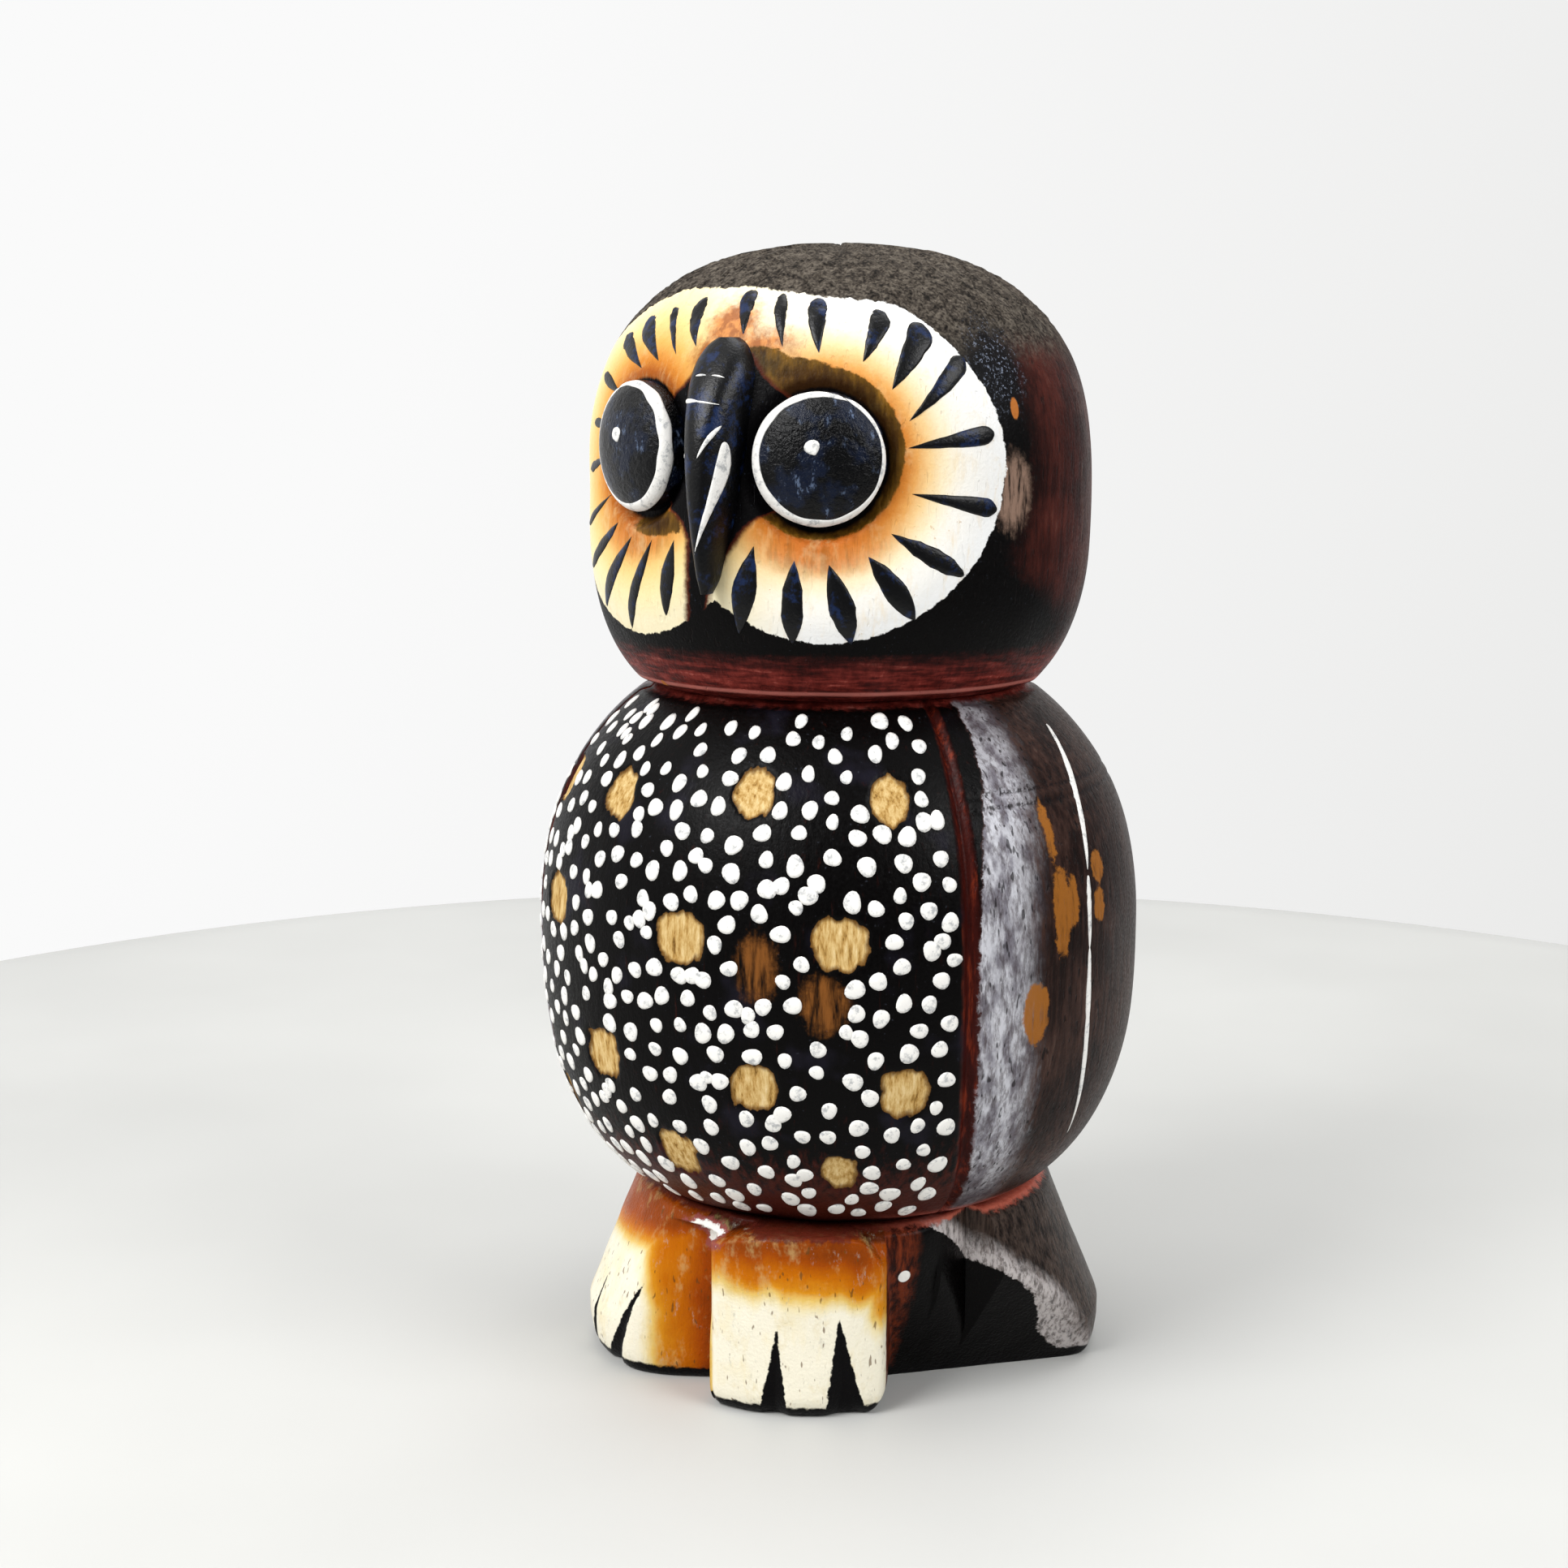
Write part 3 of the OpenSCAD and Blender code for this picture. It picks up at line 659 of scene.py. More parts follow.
# ---------------------------------------------------------------- beak
# Carved hardwood wedge, let into the face between the eyes on a peg. It is painted with
# the same thick black as the rays of the face, with its painted navy sheen, and marked with a few fast
# strokes of thin white.
BEAK_TIP = 106.4
BEAK_ROOT = 137.4
BEAK_X = 0.3
BEAK_HALF = [(106.4, 0.4), (108.3, 0.9), (110.5, 1.3), (112.4, 1.7), (116.5, 2.6), (121, 3.3), (126, 3.8),
             (130.5, 4.1), (133.5, 4), (135.6, 3.2), (136.8, 2.2), (137.4, 1.2)]
BEAK_RIDGE = [(106.4, 36.2), (108, 36.7), (112, 37.4), (119.4, 37.9), (127.4, 37), (131, 35.6),
              (134, 33.7), (136, 32.1), (137.4, 30.7)]
BEAK_BACK = [(106.4, 35.3), (107.4, 34.5), (111.4, 32.8), (115, 30.5), (137.4, 29)]
RIDGE_POWER = 2.5


def beak_point(x, z, lift):
    """Point on the beak's front, x mm from the owl's middle. Across it the outline goes from
    the ridge to the back as (|x| / half width)^n + (height / full height)^n = 1."""
    def front(x, z):
        half, ridge, back = flow(z, BEAK_HALF), flow(z, BEAK_RIDGE), flow(z, BEAK_BACK)
        edge = np.clip(np.abs(x - BEAK_X) / half, 0, 1) ** RIDGE_POWER
        return back + (ridge - back) * (1 - edge) ** (1 / RIDGE_POWER)
    out = front(x, z)
    slope_x = (front(x + 0.1, z) - front(x - 0.1, z)) / 0.2
    slope_z = (front(x, z + 0.1) - front(x, z - 0.1)) / 0.2
    size = np.sqrt(1 + slope_x ** 2 + slope_z ** 2)
    return np.stack([x - lift * slope_x / size, -(out + lift / size), z - lift * slope_z / size], -1)


beak_turn = np.linspace(0, 2 * np.pi, 48, endpoint=False)
beak_z = BEAK_TIP + (BEAK_ROOT - BEAK_TIP) * stations(60)
a, z = np.meshgrid(beak_turn, beak_z)
half, ridge, back = [flow(z, knots) for knots in (BEAK_HALF, BEAK_RIDGE, BEAK_BACK)]
x = BEAK_X + half * np.sign(np.sin(a)) * np.abs(np.sin(a)) ** (2 / RIDGE_POWER)
out = back + np.where(np.cos(a) > 0, ridge - back, 1.5) * np.sign(np.cos(a)) * np.abs(
    np.cos(a)) ** (2 / RIDGE_POWER)
beak_rings = np.stack([x, -out + 0.05 * ripples(a * 4, z / 1.7, 25, 11), z], -1)
for end in (0, -1):
    beak_rings[end] = beak_rings[end].mean(0)
beak = skins(beak_rings[None], "carved_beak")
beak.data.materials.append(ray_paint)
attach(beak, "root")
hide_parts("beak")

t = stations(17)[None, :, None]
beak_marks = np.array([  # start, middle and end of each stroke, as x and z
    [(-1.6, 132.7), (-0.8, 132.9), (0.1, 132.8)],
    [(0.8, 132.8), (1.6, 132.8), (2.5, 132.5)],
    [(-3.2, 129.6), (-1.6, 129.8), (0, 129.7)],
    [(-0.4, 129.7), (1, 129.6), (2.7, 129.3)],
    [(2.9, 126.8), (1.8, 125.4), (0.6, 122.9)],
    [(-3.1, 124.6), (-2.7, 123.4), (-1.9, 122.9)],
    [(3.1, 124.9), (3, 119.1), (-0.1, 111.3)],
    [(-2.6, 122.4), (-2, 116.5), (-0.9, 110)]])
width = np.array([0.13, 0.1, 0.3, 0.12, 0.27, 0.2, 0.42, 0.1])[:, None]
lean = np.array([1, 1, 0.8, 0.6, 0.9, 1, 0.6, 1])[:, None]
path = ((1 - t) ** 2 * beak_marks[:, None, 0] + 2 * t * (1 - t) * beak_marks[:, None, 1]
        + t * t * beak_marks[:, None, 2])
t = t[..., 0]
half = width * np.sin(np.pi * t ** lean) ** 0.7 * (1 + 0.1 * ripples(t * 8, width * 90, 9, 12))
half = half * (t > 0) * (t < 1)
whites = skins(strokes(beak_point, 1, path, half, 0.14), "beak_strokes")
whites.data.materials.append(thick_white)
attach(whites, "root")

# ---------------------------------------------------------------- torso
# Turned bulge with a V groove cut down each side between the belly and the wing. The
# belly is black with patches gouged back to bare wood, and the wings are dry-brushed.
WAIST_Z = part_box("torso")[0].z / MM
TORSO_R = 41
TORSO_MID = 60.4
TORSO_UP = (38.6, 2.3)
TORSO_DOWN = (41, 2.85)
PAINT_ROOM = 0.3
GROOVE_DEEP = 1
GROOVE_HALF = 1.3
SPOT_DEEP = 0.35
SCORED_Z = (81.6, 80)
GROOVE_LINE = [(24, 57.5), (30, 55.6), (36, 53.8), (45, 52.4), (60, 52), (76, 52.1), (84, 52.5),
               (93, 54.3)]
BAND_LINE = [(24, 58.5), (30, 57), (38, 54.6), (50, 53.7), (68, 54), (78, 56.4), (85, 59.6), (93, 62)]
BARE_SPOTS = (  # azimuth, height and radius of each patch of bare wood
    (-48.7, 80.2, 3), (-21.8, 80.6, 3), (11, 82.4, 3), (38, 81.7, 2.9), (-37.5, 65.4, 3.3),
    (-1, 64.3, 3.4), (28.4, 64.8, 3.5), (-50, 46, 3.1), (-21, 47, 3.2), (13, 45.8, 3.2),
    (40, 45.6, 3.2), (-45, 37, 3), (-5.5, 34.9, 3.2), (28.6, 34.1, 2.5))
RUBBED = ((13.8, 61.4, 2.6, 4.2), (25.7, 57.2, 3, 3.4))
WING_DABS = ((65.8, 54.1, 2.2, 4), (71.5, 76.5, 0.9, 3.8), (72.4, 66.5, 1.7, 6), (75.5, 67.5, 1.1, 3.4),
             (83.7, 66.1, 1.4, 2.2), (84.5, 71, 1.6, 2))


def groove_distance(azimuth, z):
    """Distance in mm along the surface from the middle of the nearer wing groove."""
    return np.abs(np.abs(azimuth) - flow(z, GROOVE_LINE)) * TORSO_R * np.pi / 180


def spot_depth(azimuth, z):
    """How deep a point is inside the nearest bare spot, in mm. Its outline is a squarish
    oval that ripples by 0.5 mm, as the gouge left it."""
    arc = azimuth * TORSO_R * np.pi / 180
    ragged = 0.4 * ripples(arc * 0.8 + 70, z * 0.5, 150, 21) + 0.25 * ripples(arc * 2 + 150, z, 310, 22)
    return oval_depth(azimuth, z, [(a, h, r, r) for a, h, r in BARE_SPOTS], TORSO_R, 2.6) + ragged


def torso_carving(azimuth, z):
    """Depth of carving on the torso: room for the paint, slow knife facets, a V groove beside
    each wing, bare spots cut below the paint, two scored rings, and rounded ends."""
    arc = np.radians(azimuth) * TORSO_R
    facets = 0.14 * ripples(arc / 8.6 + 50, z / 12, 30, 13) - 0.14
    groove = -GROOVE_DEEP * np.clip(1 - groove_distance(azimuth, z) / GROOVE_HALF, 0, 1) ** 1.2
    cut = -SPOT_DEEP * step_up(-0.3, 0.3, spot_depth(azimuth, z))
    behind = step_up(0, 1.5, groove_distance(azimuth, z)) * (np.abs(azimuth) > 52)
    scored = -0.14 * behind * sum(np.exp(-((z - ring) / 0.3) ** 2) for ring in SCORED_Z)
    ends = -0.5 * step_up(0.9, 0, NECK_Z - z) - 0.5 * step_up(0.9, 0, z - WAIST_Z)
    return facets + groove + cut + scored + ends - PAINT_ROOM


def torso_point(azimuth, z, lift):
    """Point on the carved torso, standing `lift` off its surface."""
    return turned(azimuth, z, torso_carving(azimuth, z) + lift, TORSO_R, TORSO_MID, TORSO_UP, TORSO_DOWN)


torso_turn = np.degrees(turn - 0.25 * np.sin(turn))
full = bulge_heights(WAIST_Z, TORSO_MID, TORSO_UP, TORSO_DOWN, 92, 2)
rise = np.linspace(0, np.arcsin(((NECK_Z - TORSO_MID) / TORSO_UP[0]) ** (TORSO_UP[1] / 2)), 92)
torso_z = np.concatenate([full[:-2], TORSO_MID + TORSO_UP[0] * np.sin(rise) ** (2 / TORSO_UP[1])])
azimuth, z = np.meshgrid(torso_turn, torso_z)
body_rings = torso_point(azimuth, z, 0)
under, cap = [body_rings[end][None] * [[[0]], [[0.5]], [[0.97]]] for end in (0, -1)]
under[..., 2] = WAIST_Z
cap[..., 2] = NECK_Z
body_rings = np.concatenate([under, body_rings, cap[::-1]])
azimuth, z = [np.concatenate([np.repeat(g[:1], 3, 0), g, np.repeat(g[-1:], 3, 0)]) for g in (azimuth, z)]
band = (np.abs(azimuth) - flow(z, BAND_LINE)) * TORSO_R * np.pi / 180
torso = skins(body_rings[None], "carved_torso", {
    "spot": spot_depth(azimuth, z)[None], "rub": oval_depth(azimuth, z, RUBBED, TORSO_R)[None],
    "dab": oval_depth(np.abs(azimuth), z, WING_DABS, TORSO_R)[None],
    "groove": groove_distance(azimuth, z)[None], "band": band[None], "turn": np.abs(azimuth)[None]})

# The same brushed oil paint. The belly is black with a painted violet sheen and painted blue-grey
# glints, and reddens towards the waist. Each wing starts in dry-brushed grey that skips over the
# pores and wears away to dark brown, greyer at its far side with a painted grazing sheen, and the
# bare spots show pale straight grain with a scorched rim.
torso_paint, tree = finish("brushed_oil_paint_on_turned_torso")
place = add("TexCoord", out="Object")
marks = {name: add("Attribute", out="Fac", attribute_name=name)
         for name in ("turn", "rub", "band", "dab", "groove", "spot")}
height = add("SeparateXYZ", place, out="Z")
grain = add("TexNoise", add("Mapping", place, inputs={"Scale": (1, 1, 0.14)}), 1.1 / MM, 4, 0.65)
speck = add("TexNoise", place, 2.4 / MM, 2, 0.5)
blotch = add("TexNoise", place, 0.11 / MM, 3, 0.55)
field = add("TexNoise", add("Mapping", place, inputs={"Scale": (1, 1, 0.28)}), 1.5 / MM, 1, 0.5)
pore = add("MapRange", field, 0.64, 0.7, **SMOOTH)
ragged = add("Math", add("TexNoise", place, 0.7 / MM, 4, 0.7), 1.4, -0.7, operation="MULTIPLY_ADD")
ahead = marks["turn"]

# Painted sheen: violet blotches over the black.
amount = add("MapRange", blotch, 0.54, 0.7, 0, 0.8, **SMOOTH)
belly = add("Mix", amount, "#030202", "#17151f", data_type="RGBA")
field = add("Math", grain, add("MapRange", height, 0.026, 0.042, 0.5, 0, **SMOOTH), operation="ADD")
amount = add("MapRange", field, 0.6, 0.95, 0, 0.85, **SMOOTH)
belly = add("Mix", amount, belly, "#43180f", data_type="RGBA")
# Painted glints: blue-grey specks over the black.
amount = add("MapRange", speck, 0.68, 0.8, 0, 0.6, **SMOOTH)
belly = add("Mix", amount, belly, "#33363f", data_type="RGBA")
field = add("Math", ragged, 2.4, marks["rub"], operation="MULTIPLY_ADD")
rub = add("MapRange", field, -0.8, 1.2, **SMOOTH)
amount = add("Math", rub, add("MapRange", grain, 0.3, 0.62, **SMOOTH), operation="MULTIPLY")
belly = add("Mix", amount, belly, "#7a4a1f", data_type="RGBA")

blend = add("Math", grain, 0.55, add("Math", blotch, 0.5, operation="MULTIPLY"), operation="MULTIPLY_ADD")
wing_tone = add("ValToRGB", blend,
                stops=[(0.32, "#0b0605"), (0.48, "#1f120f"), (0.62, "#3a2721"), (0.8, "#5f4b42")])
# Greyer brown past 82 degrees round: partly brush-worn wood, partly a painted grazing sheen.
amount = add("MapRange", ahead, 82, 105, 0, 0.5, **SMOOTH)
tones = add("Mix", grain, "#120c0a", "#483a34", data_type="RGBA")
wing_tone = add("Mix", amount, wing_tone, tones, data_type="RGBA")
reach = add("Math", ragged, 1.5, marks["band"], operation="MULTIPLY_ADD")
field = add("Math", grain, 7, reach, operation="MULTIPLY_ADD")
dry = add("Math", add("MapRange", reach, -0.05, 0.25, **SMOOTH),
          add("MapRange", field, 7.5, 14.5, 1, 0, **SMOOTH), operation="MULTIPLY")
dry = add("Math", dry, add("MapRange", height, 0.026, 0.038, 0.3, 1, **SMOOTH), operation="MULTIPLY")
dry = add("Math", dry, add("MapRange", height, 0.078, 0.092, 1, 0.45, **SMOOTH), operation="MULTIPLY")
streaks = add("TexNoise", add("Mapping", place, inputs={"Scale": (1, 1, 0.3)}), 1.8 / MM, 4, 0.75)
field = add("Math", streaks, 0.6, add("Math", grain, 0.4, operation="MULTIPLY"), operation="MULTIPLY_ADD")
skip = add("MapRange", field, 0.4, 0.55, 0.4, 1, **SMOOTH)
dry = add("Math", dry, skip, operation="MULTIPLY")
field = add("TexNoise", add("Mapping", place, inputs={"Scale": (1, 1, 0.5)}), 0.3 / MM, 4, 0.6)
amount = add("MapRange", field, 0.4, 0.6, **SMOOTH)
grey = add("Mix", amount, "#75727a", "#c2c2c8", data_type="RGBA")
amount = add("Math", add("MapRange", reach, 4, 11, 1, 0, **SMOOTH), 0.5, operation="MULTIPLY")
wing_tone = add("Mix", amount, wing_tone, "#3d2b2b", data_type="RGBA")
wing_tone = add("Mix", dry, wing_tone, grey, data_type="RGBA")
amount = add("Math", pore, 0.75, operation="MULTIPLY")
wing_tone = add("Mix", amount, wing_tone, "#0d0909", data_type="RGBA")
scores = add("Math", add("Math", add("Math", height, 0.0816, operation="SUBTRACT"), operation="ABSOLUTE"),
             add("Math", add("Math", height, 0.08, operation="SUBTRACT"), operation="ABSOLUTE"),
             operation="MINIMUM")
scores = add("Math", add("MapRange", scores, 0.0001, 0.0004, 1, 0, **SMOOTH),
             add("MapRange", add("TexNoise", place, 1.6 / MM, 2, 0.6), 0.42, 0.55, **SMOOTH),
             operation="MULTIPLY")
amount = add("Math", scores, 0.8, operation="MULTIPLY")
wing_tone = add("Mix", amount, wing_tone, "#171112", data_type="RGBA")
field = add("Math", ragged, 1.3, marks["dab"], operation="MULTIPLY_ADD")
dab = add("MapRange", field, -0.15, 0.25, **SMOOTH)
amount = add("Math", dab, add("MapRange", grain, 0.25, 0.5, 0.45, 0.95, **SMOOTH), operation="MULTIPLY")
wing_tone = add("Mix", amount, wing_tone, "#955c22", data_type="RGBA")

wing = add("MapRange", add("Math", ahead, 52, operation="SUBTRACT"), -0.2, 0.2, **SMOOTH)
margin = add("MapRange", reach, -0.3, 0, **SMOOTH)
colour = add("Mix", add("Math", wing, margin, operation="MULTIPLY"), belly, wing_tone, data_type="RGBA")
field = add("Math", ragged, 0.6, marks["groove"], operation="MULTIPLY_ADD")
furrow = add("MapRange", field, 0.7, 1.6, 1, 0, **SMOOTH)
amount = add("Math", furrow, add("MapRange", grain, 0.2, 0.6, 0.4, 0.95, **SMOOTH), operation="MULTIPLY")
tones = add("Mix", add("MapRange", grain, 0.5, 0.75, **SMOOTH), "#3a0f0a", "#7a2c16", data_type="RGBA")
colour = add("Mix", amount, colour, tones, data_type="RGBA")
scored = add("TexNoise", add("Mapping", place, inputs={"Scale": (0.12, 0.12, 1)}), 1.6 / MM, 3, 0.6)
blend = add("Math", grain, 0.3, add("Math", scored, 0.7, operation="MULTIPLY"), operation="MULTIPLY_ADD")
red = add("ValToRGB", blend,
          stops=[(0.34, "#2c0c0a"), (0.48, "#66211b"), (0.6, "#8c382f"), (0.74, "#c2766a")])
field = add("Math", ragged, 0.001, height, operation="MULTIPLY_ADD")
band = add("MapRange", field, 0.0913, 0.0921, **SMOOTH)
colour = add("Mix", band, colour, red, data_type="RGBA")
hem = add("MapRange", field, 0.0254, 0.0268, 1, 0, **SMOOTH)
amount = add("Math", hem, 0.8, operation="MULTIPLY")
tones = add("Mix", add("MapRange", ahead, 30, 60, **SMOOTH), "#2c0d0a", "#a5564b", data_type="RGBA")
colour = add("Mix", amount, colour, tones, data_type="RGBA")

# Bare wood, scorched brown round its rim.
spot = add("Math", ragged, 0.5, marks["spot"], operation="MULTIPLY_ADD")
fibre = add("TexNoise", add("Mapping", place, inputs={"Scale": (1, 1, 0.2)}), 1.5 / MM, 4, 0.7)
wood = add("ValToRGB", fibre,
           stops=[(0.3, "#6a4a1e"), (0.42, "#b08a4c"), (0.56, "#cdae74"), (0.75, "#e3cd9e")])
wood = add("Mix", add("MapRange", spot, 0.05, 0.7, 0.9, 0, **SMOOTH), wood, "#5c3a12", data_type="RGBA")
bare = add("MapRange", spot, -0.08, 0.08, **SMOOTH)
colour = add("Mix", bare, colour, wood, data_type="RGBA")

shine = add("MapRange", speck, 0.2, 0.8, 0.3, 0.5, **SMOOTH)
shine = add("Math", shine, add("Math", bare, 0.7, operation="MULTIPLY"), operation="MAXIMUM")
relief = add("Math", speck, 0.35, add("Math", grain, 0.8, operation="MULTIPLY"), operation="MULTIPLY_ADD")
relief = add("Math", relief,
             add("Math", add("Math", pore, wing, operation="MULTIPLY"), 1.2, operation="MULTIPLY"),
             operation="SUBTRACT")
relief = add("Math", bare, fibre, relief, operation="MULTIPLY_ADD")
raised = add("Bump", inputs={"Height": relief, "Strength": 0.4, "Distance": 0.00025})
paint = add("BsdfPrincipled", inputs={
    "Base Color": colour, "Roughness": shine, "Specular IOR Level": 0.07, "Normal": raised})
add("OutputMaterial", paint)
torso.data.materials.append(torso_paint)
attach(torso, "root")
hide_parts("torso")

# ---------------------------------------------------------------- dots of the belly
# Drops of thick white paint, set down one by one with the end of a stick. They stand a
# little proud, keep off the bare spots, and run together here and there.
DOT_HEIGHT = 0.2
DOT_SPACING = 2.98
rng = np.random.default_rng(17)
tries = np.column_stack([rng.uniform(-56, 49.5, 9000), rng.uniform(26.3, 90.7, 9000)])
tries = tries[spot_depth(*tries.T) < -1.1]
tries = tries[oval_depth(*tries.T, RUBBED, TORSO_R) < -0.4]
tries = tries[groove_distance(*tries.T) > 2.2]
tries = tries[np.abs(tries[:, 0]) < flow(tries[:, 1], GROOVE_LINE) + (tries[:, 0] < 0) * 4]
places = turned(tries[:, 0], tries[:, 1], 0 * tries[:, 0], TORSO_R, TORSO_MID, TORSO_UP, TORSO_DOWN)
kept = []
for i, spot in enumerate(places):
    if not kept or np.min(np.sum((places[kept] - spot) ** 2, 1)) > DOT_SPACING ** 2:
        kept.append(i)
dots = tries[kept]
pairs = dots[rng.random(len(dots)) < 0.1]
lean = rng.uniform(0, 2 * np.pi, len(pairs))
pairs = pairs + np.column_stack([np.cos(lean) * 2.6, np.sin(lean) * 1.8])
pairs = pairs[(spot_depth(*pairs.T) < -1) & (groove_distance(*pairs.T) > 1.8) & (pairs[:, 1] > 26)]
dots = np.concatenate([dots, pairs])
size = (rng.uniform(0.9, 1.25, len(dots)) * (1 - 0.2 * step_up(74, 88, dots[:, 1])))[:, None, None]
a = np.linspace(0, 2 * np.pi, 16, endpoint=False)
rings = np.array([(0, -0.15), (1, -0.15), (1, 0.45), (0.7, 0.95), (0, 0.85)])
first, second = rng.uniform(0, 2 * np.pi, (2, len(dots), 1, 1))
lumpy = 1 + 0.07 * np.cos(2 * (a - first)) + 0.05 * np.cos(3 * (a - second))
spread = size * rings[:, 0][None, :, None] * lumpy
squash = rng.uniform(0.93, 1.07, len(dots))[:, None, None]
per_degree = np.hypot(*turned(dots[:, 0], dots[:, 1], 0 * dots[:, 0], TORSO_R, TORSO_MID,
                              TORSO_UP, TORSO_DOWN)[:, :2].T)[:, None, None] * np.pi / 180
lift = DOT_HEIGHT * np.where(rings[:, 1] > 0, rings[:, 1], rings[:, 1] / DOT_HEIGHT)[None, :, None]
dot_rings = torso_point(dots[:, 0, None, None] + spread * np.cos(a) * squash / per_degree,
                        dots[:, 1, None, None] + spread * np.sin(a) / squash,
                        np.broadcast_to(lift, spread.shape))
belly_dots = skins(dot_rings, "belly_dots")
belly_dots.data.materials.append(thick_white)
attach(belly_dots, "root")

# ---------------------------------------------------------------- wing lines
# One long stroke of white down each wing, pulled with a loaded liner brush: it starts in
# a point under the neck, fattens, breaks once and runs dry above the waist.
WING_LINE = [(35.5, 83), (45.6, 80.8), (57.6, 80), (70.6, 80.8), (79.4, 84), (88.2, 90)]
lines = []
for side, high, low, wide in ((1, 88.5, 70.9, 0.62), (1, 70.2, 60.6, 0.45), (1, 60.9, 35, 0.5),
                              (-1, 88, 64, 0.6), (-1, 63.2, 36, 0.5)):
    t = stations(33)
    z = high + (low - high) * t
    half = wide * np.sin(np.pi * np.clip(t, 0, 1) ** 0.7) ** 0.55
    half = half * (1 + 0.22 * ripples(t * 14, t * 0 + high, 15, 31)) * (t > 0) * (t < 1)
    lines.append(strokes(torso_point, TORSO_R * np.pi / 180, np.stack(
        [side * flow(z, WING_LINE), z], -1)[None], half[None], 0.16))
wing_lines = skins(np.concatenate(lines), "wing_lines")
wing_lines.data.materials.append(thick_white)
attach(wing_lines, "root")

# ---------------------------------------------------------------- base
# Turned flare, sawn and carved into two square feet in front and a broad tail behind. The
# flanks between them are cut back at a slant, and two grooves make the claws of each foot.
SKIRT_R = 35.7
SKIRT_Z = 6
WAIST_R = 28.3
LEAN = (118, 0.9)
FEET_TURN = -3
FOOT_AZIMUTH = 22.5
LEFT_TOE = (13, 11.2, 22)
RIGHT_FRONT = 33.2
FOOT_SIDE = (7.88, 7.5)
FOOT_WALL = (118.5, 136.5)
LEDGE_R = 35
LEDGE_Z = 25.2
NOTCH = ((-28, 36.4), (-7, 25.5), (3.5, 37.4))
FLANK_AZIMUTH = (47, 65)
FLANK_SLANT = 29
FLANK_DIST = 16.6
TAIL_EDGE = [(0, 103), (4.8, 93), (9.2, 88), (12.5, 84), (17.6, 72.5), (21.8, 62.5), (24.4, 54)]
CLAWS = (  # foot, apex across and up, then the two corners at the ground
    (1, -2.8, 12.4, -5.4, -1.4), (1, 5.1, 14, 3.3, 8.6),
    (-1, -0.8, 12.9, -8.6, -5), (-1, -11.2, 11, -14, -12))


def less(a, b, soft):
    """The lesser of a and b, with the corner between them rounded over `soft` mm."""
    h = np.clip(0.5 + 0.5 * (b - a) / soft, 0, 1)
    return b * (1 - h) + a * h - soft * h * (1 - h)


def claw_depth(turned_az, r, z):
    """How deep a point is inside the nearest claw, in mm: each claw is a triangle on its
    foot's front plane, from two corners at the ground to an apex."""
    deep = np.full(turned_az.shape, -9.0)
    for foot, apex, top, left, right in CLAWS:
        across = r * np.sin(np.radians(turned_az - foot * FOOT_AZIMUTH))
        t = z / top
        edges = np.minimum(across - (left + (apex - left) * t), (right + (apex - right) * t) - across)
        deep = np.maximum(deep, np.where(np.abs(turned_az - foot * FOOT_AZIMUTH) < 40, edges, -9))
    return deep


def rolled(z, tall, deep):
    """How far a rounded lower edge draws in: from `deep` at the ground to 0 at `tall`, along
    a quarter of an ellipse."""
    return deep * (1 - np.sqrt(1 - np.clip((tall - z) / tall, 0, 1) ** 2))


